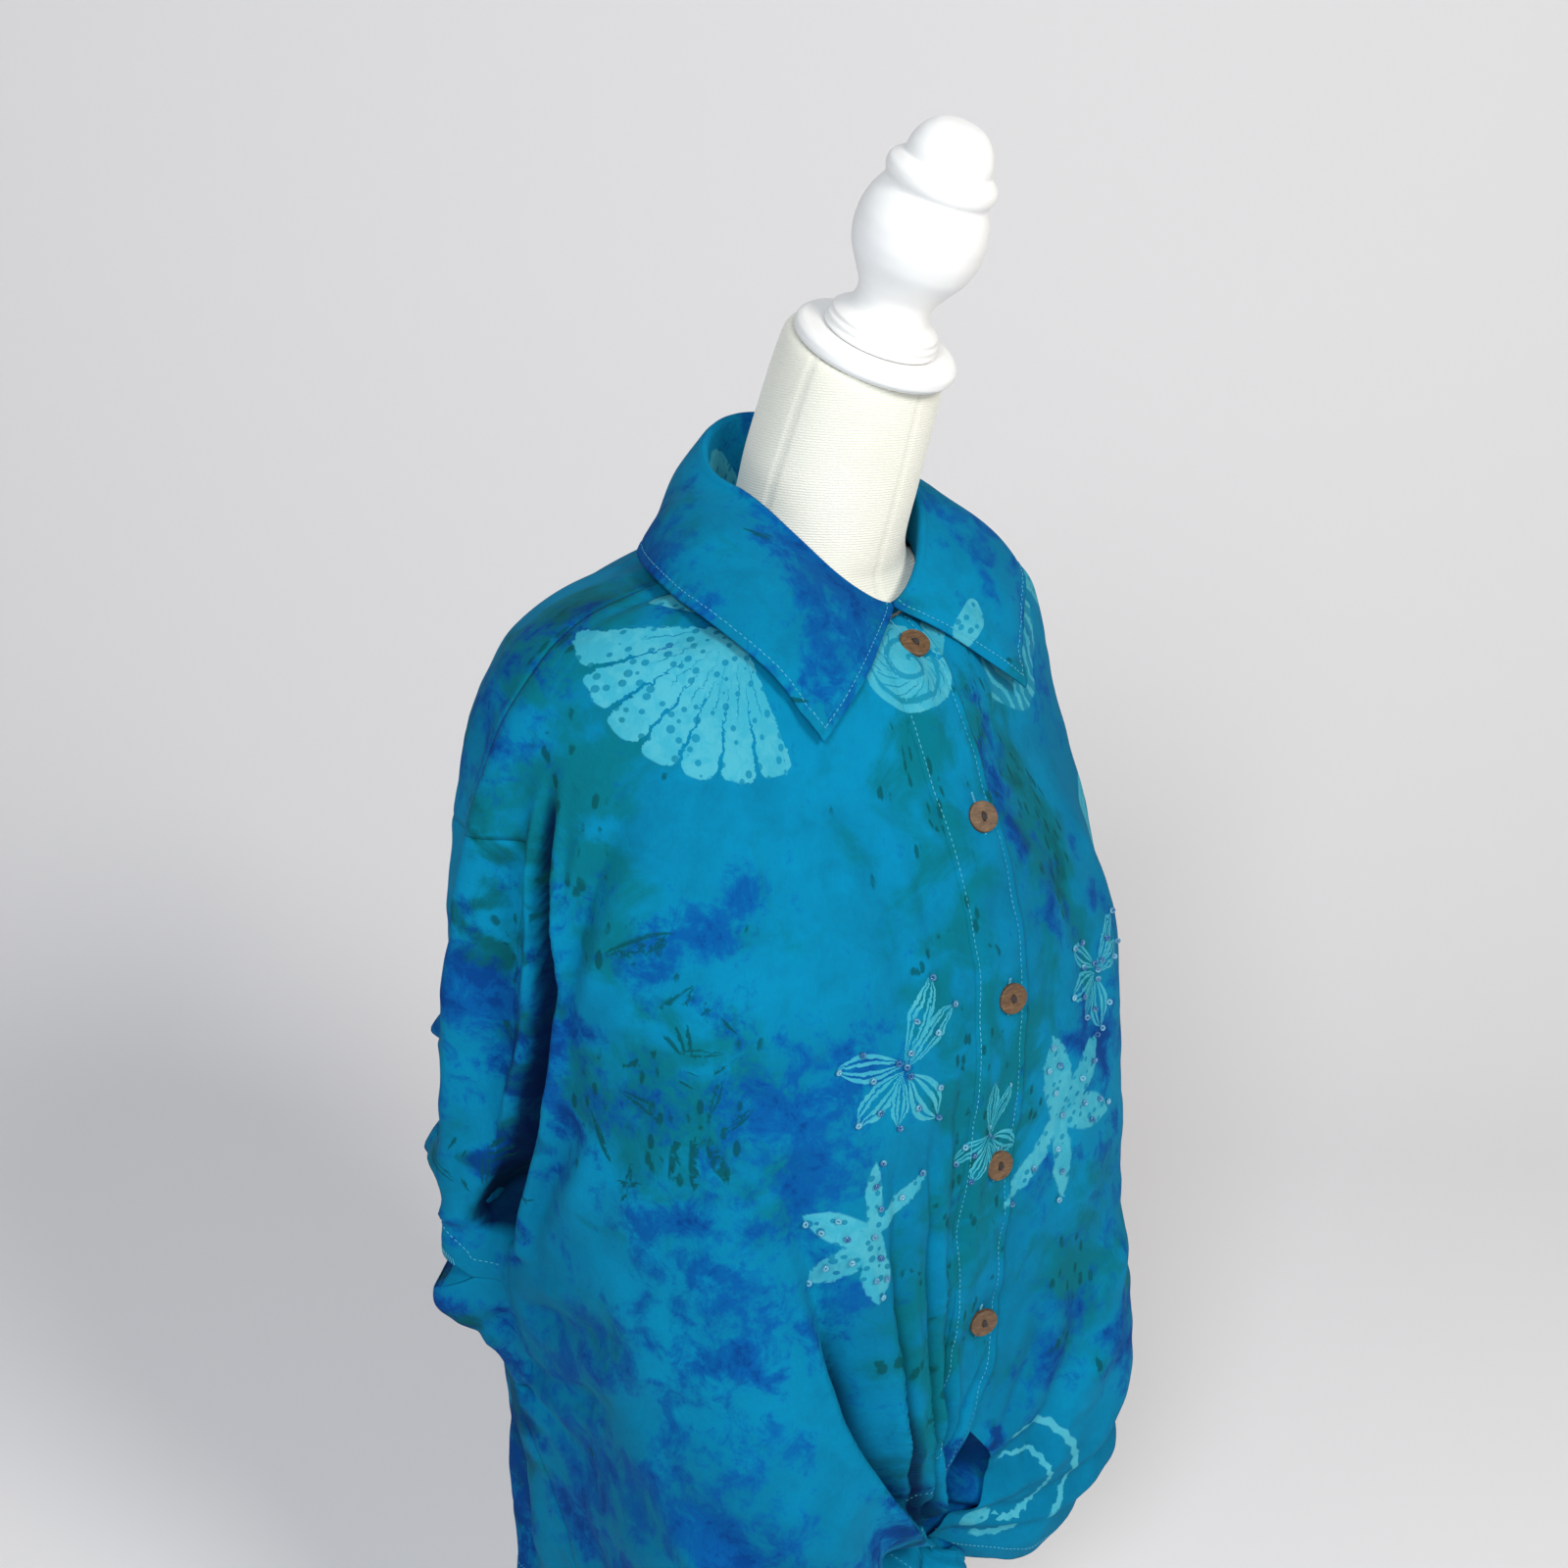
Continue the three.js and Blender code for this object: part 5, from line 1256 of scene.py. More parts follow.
COLLAR_COLUMNS = ("angle", "seat", "rise", "lean", "place", "swing", "lift", "puff")
COLLAR_TABLE = (
    ("end", 2, .0036, .007, 0, 11.0, 41.5, .007, .006),
    ("wing 1", 11, .0036, .009, 0, 11.2, 46, .007, .008),
    ("wing 2", 22, .0036, .012, 0, 11.45, 50, .007, .009),
    ("wing 3", 34, .0026, .016, 0, 11.8, 57, .007, .009),
    ("wing 4", 47, .0014, .021, 0, 12.15, 66, .007, .009),
    ("front side", 61, .0008, .026, .001, 12.5, 76, .007, .009),
    ("neck side", 76, .0008, .031, .002, 12.8, 86, .006, .008),
    ("seam", 92, .0008, .035, .002, 13.0, 97, .006, .007),
    ("back side 1", 108, .0008, .038, .003, 13.1, 110, .006, .006),
    ("back side 2", 125, .0008, .041, .003, 13.15, 126, .006, .005),
    ("back side 3", 143, .0008, .043, .004, 13.2, 143, .006, .005),
    ("back side 4", 161, .0008, .044, .004, 13.2, 161, .006, .005),
    ("middle", 180, .0008, .044, .004, 13.2, 180, .006, .005),
)
ROLL = 0.0026
COLLAR_WALL = 0.0014
COLLAR_AROUND, COLLAR_DOWN = 25, 56  # cells between two lines of its table, and from its seam to its edge


def curve_through(stations, place):
    """A smooth curve through stations, an array whose first axis runs along the curve."""
    i = int(min(max(math.floor(place), 0), len(stations) - 2))
    t = place - i
    a, b, c, d = (stations[min(max(i + k, 0), len(stations) - 1)] for k in (-1, 0, 1, 2))
    return b + 0.5 * t * (c - a + t * (2 * a - 5 * b + 4 * c - d + t * (3 * b - a - 3 * c + d)))


def collar_stations(table_place, sign):
    """The collar's sections: eight stations from its seam, over the roll and down the fall."""
    row = row_at(COLLAR_TABLE, COLLAR_COLUMNS, table_place)
    angle, swing = sign * row["angle"], sign * row["swing"]
    outward = np.stack((np.sin(angle * DEG), -np.cos(angle * DEG), 0 * angle), axis=-1)
    seam = plain_point(np.full_like(angle, TOP), angle)
    rise = np.array([0, 0, 1.0])

    def above(out, up):
        aside = outward * np.broadcast_to(out, angle.shape)[:, None]
        return seam + aside + rise * np.broadcast_to(up, angle.shape)[:, None]

    top = row["seat"] + row["rise"]
    out = facing(row["place"], swing)
    edge = plain_point(row["place"], swing) + out * row["lift"][:, None]
    fall_top = above(row["lean"] + 2 * ROLL, top - ROLL)
    fall = [fall_top + (edge - fall_top) * t + out * (row["puff"] * 4 * t * (1 - t))[:, None]
            for t in (0.25, 0.5, 0.75, 1)]
    return np.stack([above(0, row["seat"]), above(row["lean"], top - ROLL), above(row["lean"] + ROLL, top),
                     fall_top, *fall])


table_places = np.linspace(0, 12, 12 * COLLAR_AROUND + 1)
stations = np.concatenate((collar_stations(table_places, 1),
                           collar_stations(table_places[-2::-1], -1)), axis=1)
EVEN_DOWN = np.interp(np.linspace(0, 1, COLLAR_DOWN + 1), [0, .30, .36, .42, 1], [0, 1, 2, 3, 7])
collar_points = np.stack([curve_through(stations, place) for place in EVEN_DOWN])


def grid_normals(points):
    along = np.gradient(points, axis=1)
    up = np.gradient(points, axis=0)
    return unit(np.cross(along, up))


def far_along(points, axis):
    """Distances along a grid's lines from their starts."""
    steps = np.linalg.norm(np.diff(points, axis=axis), axis=-1)
    return np.concatenate((np.zeros_like(np.take(steps, [0], axis)), np.cumsum(steps, axis)), axis)


down = far_along(collar_points, 0)
round_neck = far_along(collar_points, 1)
from_edge = down[-1] - down
from_wing = np.minimum(round_neck, round_neck[:, -1:] - round_neck)
side_place = np.concatenate((table_places, 24 - table_places[-2::-1]))[None, :]
fall_share = smooth(np.linspace(0, 1, COLLAR_DOWN + 1), 0.42, 0.7)[:, None]
STITCH_IN = 0.0052  # distance of the stitches from the collar's edges
near_edge = np.minimum(from_edge, from_wing)
puckers = 0.00035 * np.sin(2 * math.pi * (round_neck[-1:] / 0.0085 + 0.4 * np.sin(round_neck[-1:] * 90)))
puckers = puckers * np.exp(-(((near_edge - 0.004) / 0.005) ** 2))
drapes = 0.0011 * np.sin(side_place * 1.9 + 0.5 + 2.2 * down) * fall_share
drapes = drapes + 0.0008 * np.sin(side_place * 3.3 + down * 60) * fall_share
wing_curl = 0.0028 * np.exp(-((from_wing / 0.03) ** 2) - ((from_edge / 0.03) ** 2))
groove = 0.0005 * np.exp(-(((near_edge - STITCH_IN) / 0.0013) ** 2)) * (from_edge < 0.09)
relief = (groove + puckers * fall_share) - drapes - wing_curl * (side_place < 12)
relief = relief + 0.4 * wing_curl * (side_place > 12)
collar_points = collar_points + grid_normals(collar_points) * relief[..., None]


def collar_dye(flat):
    x, y, z = flat.T
    waves = np.sin(x * 52 + 1.1) * np.sin(y * 47 + 0.4) * 0.5 + np.sin((x - y) * 38 + z * 30) * 0.5
    blue = np.clip(0.52 + 0.55 * waves, 0, 1)
    green = np.clip(0.1 + 0.5 * np.sin(x * 30 + 2.2) * np.sin(z * 60), 0, 1)
    return np.stack((blue, green, 0.15 * blue), axis=-1)


# one motif on the fall and one inside the stand, with the side of the grid's faces that each is on
COLLAR_MOTIFS = ((-1, (SCRAP, 31, .838, .019, 50)), (1, (SCRAP, -150, .900, .030, 0)))


def collar_motif(side, motif):
    middle, across, up, out, place = motif_frame(motif)
    return motif, (middle, across, up, out * side, place)


collar = cloth_object("folded_collar", collar_points, round_neck, down, wall=COLLAR_WALL,
                      stamped=[collar_motif(*given) for given in COLLAR_MOTIFS], dye=collar_dye)
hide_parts("collar")


# ---------- shirt: knot ----------
# Both fronts' hems, gathered into a bunch and tied round each other once: a pleated roll of cloth.

KNOT_MIDDLE = np.array([-0.016, -0.143, 0.257])
KNOT_TIP = 24  # degrees that it leans over
KNOT_FLAT = 0.8  # its depth as a share of its width
KNOT_PROFILE = np.array([(.004, -.010), (.009, -.0165), (.0165, -.0160), (.0215, -.0085), (.0228, 0),
                         (.0215, .0085), (.0165, .0150), (.009, .0165), (.004, .010)])
KNOT_ROUND, KNOT_ALONG = 132, 72
around = np.linspace(0, 360, KNOT_ROUND + 1)
profile = np.stack([curve_through(KNOT_PROFILE, place) for place in np.linspace(0, 8, KNOT_ALONG + 1)])
v = np.linspace(0, 1, KNOT_ALONG + 1)[:, None]
phi = around[None, :] * DEG
wound = v * 4.4 + phi / (2 * math.pi)
pleat = np.abs(np.sin(math.pi * (wound + 0.11 * np.sin(3 * phi) + 0.05 * np.sin(5 * phi + 9 * v)))) ** 0.7
fine_pleat = np.sin(2 * math.pi * (v * 11 + 0.35 * np.sin(2 * phi + 1.3))) * 0.5 + 0.5
inward = 0.0034 * (1 - pleat) + 0.0010 * (1 - fine_pleat)
radius = profile[:, :1] - inward * smooth(v, 0, 0.2) * smooth(v, 1, 0.8)
height = profile[:, 1:] + 0.0016 * np.sin(phi * 2 + 0.7) * np.sin(math.pi * v)
turned_by = np.array(Matrix.Rotation(KNOT_TIP * DEG, 3, "Y"))
knot_points = np.stack((radius * np.sin(phi), -radius * np.cos(phi) * KNOT_FLAT, height + 0 * phi), axis=-1)
knot_points = knot_points @ turned_by.T + KNOT_MIDDLE


def knot_dye(flat):
    x, y, z = flat.T
    blue = np.clip(0.35 + 0.6 * np.sin(x * 120 + 1) * np.sin(z * 90 + 2), 0, 1)
    return np.stack((blue, np.clip(0.4 * np.sin(z * 140), 0, 1), 0.3 * blue), axis=-1)


knot_round = far_along(knot_points, 1)
knot = cloth_object("hem_knot", knot_points, knot_round, far_along(knot_points, 0), stamped=(), dye=knot_dye)
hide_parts("knot")


# ---------- shirt: tails ----------
# The ends of both hems hang out of the knot in soft pleats, each to a point.

# Tails: their roots from the knot's middle, drift aside, length, half width, and how they wave.
TAILS = (
    ("left", .012, 0, -.0218, .026, .092, .026, 6),
    ("right", -.009, -.001, -.0207, -.022, .104, .027, -8),
)
for name, x, y, z, drift, far, width, turn in TAILS:
    t = np.linspace(1, 0, 49)[:, None]
    u = np.linspace(-1, 1, 53)[None, :]
    half = mix(0.006, width, t**0.8)
    wave = np.sin(u * 2 * math.pi + turn) * mix(0.002, 0.007, t)
    pleats = 0.0016 * np.sin(u * 5.5 * math.pi + turn + 0.6 * t) * smooth(t, 1.0, 0.35) * smooth(t, 0, 0.08)
    curl = 0.003 * smooth(np.abs(u), 0.8, 1) * smooth(t, 0.2, 0.8) * np.sign(turn)
    tail_points = np.stack((
        KNOT_MIDDLE[0] + x + drift * t + half * u,
        KNOT_MIDDLE[1] + y + 0.008 * t + wave + turn * 0.001 * u * t - pleats + curl,
        KNOT_MIDDLE[2] + z - far * t * (1 - 0.28 * np.abs(u)) + 0 * u,
    ), axis=-1)
    tail = cloth_object(f"hem_tail_{name}", tail_points, u * half + 0.3, far * (1 - t) + 0 * u, stamped=(),
                        dye=knot_dye)
    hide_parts(f"tail_{name}")


# ---------- buttons ----------
# Five round buttons of turned brown wood, sewn on with dark thread that lies between their two holes.

BUTTON_RADIUS = 0.009
BUTTON_THICK = 0.0032
HOLE_OUTLINE = 0.0015  # a hole's radius before its rim is rounded inwards
HOLE_MIDDLE = 0.0019
RIM_ROUND = 0.0007
BUTTON_LIFT = 0.0002
# tip, lean and spin of each button in degrees
BUTTON_TURNS = ((3, -15, 4), (-2, -19, -12), (2, -20, 8), (-3, -16, -6), (4, -22, 14))

button_wood, tree, shader = new_material("brown_wood")
where = node(tree, "ShaderNodeTexCoord").outputs["Object"]
grain_space = node(tree, "ShaderNodeMapping", {"Vector": where, "Rotation": (0.3, 0.5, 0.4),
                                               "Scale": (260, 260, 1500)})
grain = node(tree, "ShaderNodeTexNoise", {"Vector": grain_space.outputs[0], "Scale": 1.0, "Detail": 6.0,
                                          "Distortion": 0.6})
grain = Field(tree, grain.outputs["Fac"])
patches = noise(tree, where, 240.0, 3.0)
tint = ramp(tree, (grain * 0.75 + patches * 0.35).value, [(0.34, (0.050, 0.020, 0.009, 1)),
                                                          (0.55, (0.105, 0.053, 0.020, 1)),
                                                          (0.74, (0.175, 0.098, 0.042, 1))])
tree.links.new(tint, shader.inputs["Base Color"])
bump = node(tree, "ShaderNodeBump", {"Height": grain.value, "Strength": 0.3, "Distance": 0.0004})
tree.links.new(bump.outputs["Normal"], shader.inputs["Normal"])
tree.links.new((grain * -0.2 + 0.58).value, shader.inputs["Roughness"])

dark_thread, tree, shader = new_material("dark_thread")
where = node(tree, "ShaderNodeTexCoord").outputs["Object"]
plies = node(tree, "ShaderNodeTexWave", {"Vector": where, "Scale": 900.0, "Distortion": 1.0}).outputs["Fac"]
tint = ramp(tree, plies, [(0.2, (0.012, 0.010, 0.012, 1)), (0.9, (0.045, 0.035, 0.035, 1))])
tree.links.new(tint, shader.inputs["Base Color"])
shader.inputs["Roughness"].default_value = 0.8

button_places = []
# heights up the line that the buttons sit on
heights = plain_point(ALL_PLACES, angle_at(ALL_PLACES, ROWS_THERE["line"]))[:, 2]
for k in range(1, 6):
    low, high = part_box(f"button_{k}")
    middle = (low + high) / 2
    button_place = np.array([np.interp(middle.z, heights, ALL_PLACES)])
    step = plain_point(button_place + 0.1, angle_at(button_place + 0.1, -0.01)) - plain_point(
        button_place - 0.1, angle_at(button_place - 0.1, -0.01))
    out = Vector((0, -step[0, 2], step[0, 1])).normalized()
    button_places.append((Vector(middle), out))


def button_frame(k):
    """Where button k is, as a matrix: its local Z faces out and its local Y runs up the band."""
    middle, out = button_places[k]
    across = Vector((1, 0, 0))
    frame_of = Matrix((across, out.cross(across), out)).transposed().to_4x4()
    tip, lean, spin = (turn * DEG for turn in BUTTON_TURNS[k])
    small = Matrix.Rotation(tip, 4, "X") @ Matrix.Rotation(lean, 4, "Y") @ Matrix.Rotation(spin, 4, "Z")
    return Matrix.Translation(middle + out * BUTTON_LIFT) @ frame_of @ small


def button_mesh(name):
    """A disc with rounded rims and two rounded holes, by a curve's depth and bevel."""
    curve = bpy.data.curves.new(name, "CURVE")
    curve.dimensions = "2D"
    curve.fill_mode = "BOTH"
    curve.extrude = BUTTON_THICK / 2 - RIM_ROUND
    curve.bevel_depth = RIM_ROUND
    curve.bevel_resolution = 3
    for x, y, radius, count in ((0, 0, BUTTON_RADIUS - RIM_ROUND, 56), (0, HOLE_MIDDLE, HOLE_OUTLINE, 18),
                                (0, -HOLE_MIDDLE, HOLE_OUTLINE, 18)):
        ring = curve.splines.new("POLY")
        ring.points.add(count - 1)
        ring.use_cyclic_u = True
        for i, point in enumerate(ring.points):
            turn = 2 * math.pi * i / count
            point.co = (x + radius * math.cos(turn), y + radius * math.sin(turn), 0, 1)
    drawn = bpy.data.objects.new(name, curve)
    mesh = bpy.data.meshes.new_from_object(drawn)
    bpy.data.objects.remove(drawn)
    bpy.data.curves.remove(curve)
    return mesh


for k in range(5):
    mesh = button_mesh(f"wood_button_{k + 1}")
    mesh.transform(button_frame(k))
    mesh.materials.clear()
    mesh.materials.append(button_wood)
    button = bpy.data.objects.new(mesh.name, mesh)
    scene.collection.objects.link(button)
    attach(button, "root")
    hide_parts(f"button_{k + 1}")


# ---------- stitches ----------
# Topstitching in pale thread down the band, round the collar and along the hem and cuffs, overlocking at the
# cuffs, buttonholes and the buttons' dark thread. Each topstitch is a small capsule of thread.

pale_thread, tree, shader = new_material("pale_thread")
where = node(tree, "ShaderNodeTexCoord").outputs["Object"]
plies = node(tree, "ShaderNodeTexWave", {"Vector": where, "Scale": 800.0, "Distortion": 1.5}).outputs["Fac"]
tint = ramp(tree, plies, [(0.2, (0.02, 0.33, 0.50, 1)), (0.9, (0.12, 0.50, 0.66, 1))])
tree.links.new(tint, shader.inputs["Base Color"])
shader.inputs["Roughness"].default_value = 0.7
shader.inputs["Sheen Weight"].default_value = 0.2


def new_tree(name, inputs):
    """A geometry tree with named inputs after its geometry, and the identifier of each."""
    made = bpy.data.node_groups.new(name, "GeometryNodeTree")
    made.interface.new_socket("Geometry", in_out="INPUT", socket_type="NodeSocketGeometry")
    made.interface.new_socket("Geometry", in_out="OUTPUT", socket_type="NodeSocketGeometry")
    sockets = {label: made.interface.new_socket(label, in_out="INPUT", socket_type=kind).identifier
               for label, kind in inputs.items()}
    return made, sockets, made.nodes.new("NodeGroupInput").outputs, made.nodes.new("NodeGroupOutput").inputs


stitch_tree, stitch_sockets, given, result = new_tree("row_of_stitches", {
    "Pitch": "NodeSocketFloat", "Stitch Length": "NodeSocketFloat", "Thread Radius": "NodeSocketFloat",
    "Unevenness": "NodeSocketFloat", "Thread": "NodeSocketMaterial"})
lines = node(stitch_tree, "GeometryNodeMeshToCurve", {0: given["Geometry"]})
spaced = node(stitch_tree, "GeometryNodeResampleCurve",
              {"Curve": lines.outputs[0], "Length": given["Pitch"]}, mode="LENGTH")
tangent = node(stitch_tree, "GeometryNodeInputTangent").outputs[0]
facing_along = node(stitch_tree, "FunctionNodeAlignRotationToVector", {"Vector": tangent},
                    axis="Z").outputs[0]
capsule = node(stitch_tree, "GeometryNodeMeshUVSphere",
               {"Segments": 6, "Rings": 4, "Radius": 1.0}).outputs["Mesh"]
half_long = node(stitch_tree, "ShaderNodeMath", {0: given["Stitch Length"], 1: 0.5},
                 operation="MULTIPLY").outputs[0]
shaped = node(stitch_tree, "ShaderNodeCombineXYZ",
              {0: given["Thread Radius"], 1: given["Thread Radius"], 2: half_long})
uneven = node(stitch_tree, "FunctionNodeRandomValue", {"Seed": 3}, data_type="FLOAT_VECTOR")
spread = node(stitch_tree, "ShaderNodeMath", {0: 1.0, 1: given["Unevenness"]},
              operation="SUBTRACT").outputs[0]
least = node(stitch_tree, "ShaderNodeCombineXYZ", {0: spread, 1: spread, 2: spread}).outputs[0]
stitch_tree.links.new(least, uneven.inputs["Min"])
scale_of = node(stitch_tree, "ShaderNodeVectorMath", {0: shaped.outputs[0], 1: uneven.outputs[0]},
                operation="MULTIPLY").outputs[0]
placed = node(stitch_tree, "GeometryNodeInstanceOnPoints", {
    "Points": spaced.outputs[0], "Instance": capsule, "Rotation": facing_along, "Scale": scale_of})
real = node(stitch_tree, "GeometryNodeRealizeInstances", {0: placed.outputs[0]})
rounded_off = node(stitch_tree, "GeometryNodeSetShadeSmooth", {0: real.outputs[0]})
finished = node(stitch_tree, "GeometryNodeSetMaterial",
                {"Geometry": rounded_off.outputs[0], "Material": given["Thread"]})
stitch_tree.links.new(finished.outputs[0], result["Geometry"])


def grown(name, points, edges, made_tree, sockets, values, slot_name):
    """The plain mesh that a geometry tree makes from points and the edges between them."""
    mesh = bpy.data.meshes.new(f"{name}_path")
    mesh.from_pydata([tuple(p) for p in points], edges, [])
    carrier = bpy.data.objects.new(f"{name}_path", mesh)
    scene.collection.objects.link(carrier)
    modifier = carrier.modifiers.new("grow", "NODES")
    modifier.node_group = made_tree
    for label, value in values.items():
        modifier[sockets[label]] = value
    carrier.data.update()
    bpy.context.view_layer.update()
    depsgraph = bpy.context.evaluated_depsgraph_get()
    result_mesh = bpy.data.meshes.new_from_object(carrier.evaluated_get(depsgraph))
    bpy.data.objects.remove(carrier)
    result_mesh.name = name
    made = bpy.data.objects.new(name, result_mesh)
    scene.collection.objects.link(made)
    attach(made, "root")
    return made


def joined_paths(paths):
    points, edges = [], []
    for path in paths:
        start = len(points)
        points += [tuple(p) for p in path]
        edges += [(start + i, start + i + 1) for i in range(len(path) - 1)]
    return points, edges


def stitched(name, paths, pitch=0.0034, long=0.0026, radius=0.00028, uneven=0.25, thread=pale_thread):
    return grown(name, *joined_paths(paths), stitch_tree, stitch_sockets, {
        "Pitch": pitch, "Stitch Length": long, "Thread Radius": radius, "Unevenness": uneven,
        "Thread": thread}, CLOTH_SLOT)


STITCH_LIFT = 0.00012
RIM_STITCHED = 0.30  # rows of the shirt between a rim and its stitches
OVERLOCK_WIDE = 0.075
OVERLOCK_THREAD, HOLE_THREAD, BUTTON_THREAD = 0.00026, 0.00042, 0.0007
path_places = ALL_PLACES[::2]
band_paths = []
for share in (0.07, 0.90):
    shares = np.full_like(path_places, share)
    lift = band_lift(path_places, shares) + STITCH_LIFT
    band_paths.append(cloth_point(path_places, band_angle(path_places, shares), lift))
stitched("band_stitches", band_paths)

out_of_collar = -grid_normals(collar_points)
shown_face = collar_points + out_of_collar * (COLLAR_WALL + STITCH_LIFT)
lower_line = []
for j in range(collar_points.shape[1]):
    if from_wing[-1, j] < STITCH_IN:
        continue
    lower_line.append([np.interp(-STITCH_IN, -from_edge[:, j], shown_face[:, j, k]) for k in range(3)])
wing_lines = []
for sign in (1, -1):
    line = []
    for i in range(int(COLLAR_DOWN * 0.40), COLLAR_DOWN + 1):
        if from_edge[i, 0 if sign > 0 else -1] < STITCH_IN:
            continue
        distances = round_neck[i] if sign > 0 else (round_neck[i, -1] - round_neck[i])[::-1]
        row = shown_face[i] if sign > 0 else shown_face[i, ::-1]
        line.append([np.interp(STITCH_IN, distances, row[:, k]) for k in range(3)])
    wing_lines.append(line)
stitched("collar_stitches", [lower_line, *wing_lines])

cuff_paths, overlock_paths = [], []
for sign in (-1, 1):
    share = np.linspace(0.06, 0.97, 90)
    rim = MOUTH_LINE + CUFF_ABOVE * mouth_opening(share, 0.122)
    for up, paths in ((RIM_STITCHED, cuff_paths), (0.0, overlock_paths)):
        count = 90 if up else 150
        near = share if up else np.linspace(0.16, 0.70, count)
        line = np.interp(near, share, rim) + up
        angle = sign * sleeve_angle(line, near)
        if not up:
            line = line + 0.012 + OVERLOCK_WIDE * (np.arange(count) % 2)
        paths.append(cloth_point(line, angle, STITCH_LIFT))
stitched("cuff_stitches", cuff_paths)
hem_angles = np.concatenate((np.linspace(14, 78, 90), np.linspace(82, 278, 260), np.linspace(282, 338, 90)))
hem_line = np.full_like(hem_angles, RIM_STITCHED)
stitched("hem_stitches", [cloth_point(hem_line, hem_angles, STITCH_LIFT)])

thread_tree, thread_sockets, given, result = new_tree("run_of_thread", {
    "Thread Radius": "NodeSocketFloat", "Thread": "NodeSocketMaterial"})
lines = node(thread_tree, "GeometryNodeMeshToCurve", {0: given["Geometry"]})
section = node(thread_tree, "GeometryNodeCurvePrimitiveCircle",
               {"Resolution": 5, "Radius": given["Thread Radius"]})
tube = node(thread_tree, "GeometryNodeCurveToMesh", {
    "Curve": lines.outputs[0], "Profile Curve": section.outputs[0], "Fill Caps": True})
rounded_off = node(thread_tree, "GeometryNodeSetShadeSmooth", {0: tube.outputs[0]})
real = node(thread_tree, "GeometryNodeRealizeInstances", {0: rounded_off.outputs[0]})
finished = node(thread_tree, "GeometryNodeSetMaterial",
                {"Geometry": real.outputs[0], "Material": given["Thread"]})
thread_tree.links.new(finished.outputs[0], result["Geometry"])


def threaded(name, paths, radius, thread, slot_name=CLOTH_SLOT):
    return grown(name, *joined_paths(paths), thread_tree, thread_sockets,
                 {"Thread Radius": radius, "Thread": thread}, slot_name)


threaded("cuff_overlock", overlock_paths, OVERLOCK_THREAD, pale_thread)

HOLE_LONG = 0.0108  # half the length of a buttonhole
HOLE_ACROSS = 0.614  # its place across the band
HOLE_STEPS = 60
HOLE_WIDE = 0.0010  # half the breadth of its zigzag
HOLE_LIFT = 0.00035
LINE_REACH = 0.17  # from the body's middle to the line of buttons
THREAD_ASIDE = 0.0007  # between two strands on a button
hole_paths, button_threads = [], []
for k, (middle, _) in enumerate(button_places):
    height = np.linspace(-HOLE_LONG, HOLE_LONG, HOLE_STEPS) + middle.z
    places = np.interp(height, heights, ALL_PLACES)
    angles = angle_at(places, row_at(SHIRT_TABLE, SHIRT_COLUMNS, places)["line"])
    zigzag = np.where(np.arange(HOLE_STEPS) % 2, HOLE_WIDE, -HOLE_WIDE)
    angles = angles + zigzag / (LINE_REACH * DEG)
    lift = band_lift(places, np.full_like(places, HOLE_ACROSS)) + HOLE_LIFT
    hole_paths.append(cloth_point(places, angles, lift))
    turned_to = button_frame(k)
    face = BUTTON_THICK / 2
    for aside in (-THREAD_ASIDE, 0.0, THREAD_ASIDE):
        bend = [(0, -HOLE_MIDDLE, -face), (aside, -HOLE_MIDDLE, face - 0.0004),
                (aside, -HOLE_MIDDLE * 0.8, face + 0.0003), (aside * 1.3, 0, face + 0.00055),
                (aside, HOLE_MIDDLE * 0.8, face + 0.0003), (aside, HOLE_MIDDLE, face - 0.0004),
                (0, HOLE_MIDDLE, -face)]
        button_threads.append([turned_to @ Vector(p) for p in bend])
threaded("buttonholes", hole_paths, HOLE_THREAD, pale_thread)
threaded("button_threads", button_threads, BUTTON_THREAD, dark_thread, "button_wood")


# ---------- beads ----------
# Small glass beads, clear and pale blue, sewn one by one on the starfish and blossoms of the front.

BEAD_RADIUS = 0.0013  # to the middle of the glass
BEAD_GLASS = 0.00075
BEAD_LIFT = 0.0016  # from the cloth to its middle
BLOSSOM_BEADS = ((.70, .98), (.30, .52), (1.0, .50), (.62, .24), (-1.0, .30), (-.62, .40), (-.55, .02),
                 (-.90, -.46), (-.52, -.44), (.46, -.92), (.10, -.62), (.52, -.50), (-.26, -.76), (0, 0),
                 (.10, .16), (-.12, .10), (.04, -.14))
STARFISH_BEADS = ((.16, .98), (.08, .66), (.14, .34), (.92, .60), (.55, .36), (0, 0), (.12, -.34),
                  (.02, -.62), (.22, -.66), (.14, -.90), (-.34, -.28), (-.62, -.34), (-.78, -.56),
                  (-.42, .08), (-.72, .20), (-.90, .34), (-.52, .34))


def on_cloth(motif, frame_of, spots, lift):
    """Points of the worn cloth at places of a motif."""
    middle, across_it, up_it, _, at = frame_of
    spots = np.array(spots)
    place, angle = np.full(len(spots), float(at)), np.full(len(spots), float(motif[1]))

    def read(place, angle):
        off = cloth_point(place, angle) - middle
        return np.stack((off @ across_it, off @ up_it), axis=-1)

    for _ in range(6):
        found = read(place, angle)
        by_place = (read(place + 0.01, angle) - found) / 0.01
        by_angle = (read(place, angle + 0.1) - found) / 0.1
        miss = spots - found
        size = by_place[:, 0] * by_angle[:, 1] - by_place[:, 1] * by_angle[:, 0]
        place = place + (miss[:, 0] * by_angle[:, 1] - miss[:, 1] * by_angle[:, 0]) / size
        angle = angle + (by_place[:, 0] * miss[:, 1] - by_place[:, 1] * miss[:, 0]) / size
    return cloth_point(place, angle, lift)


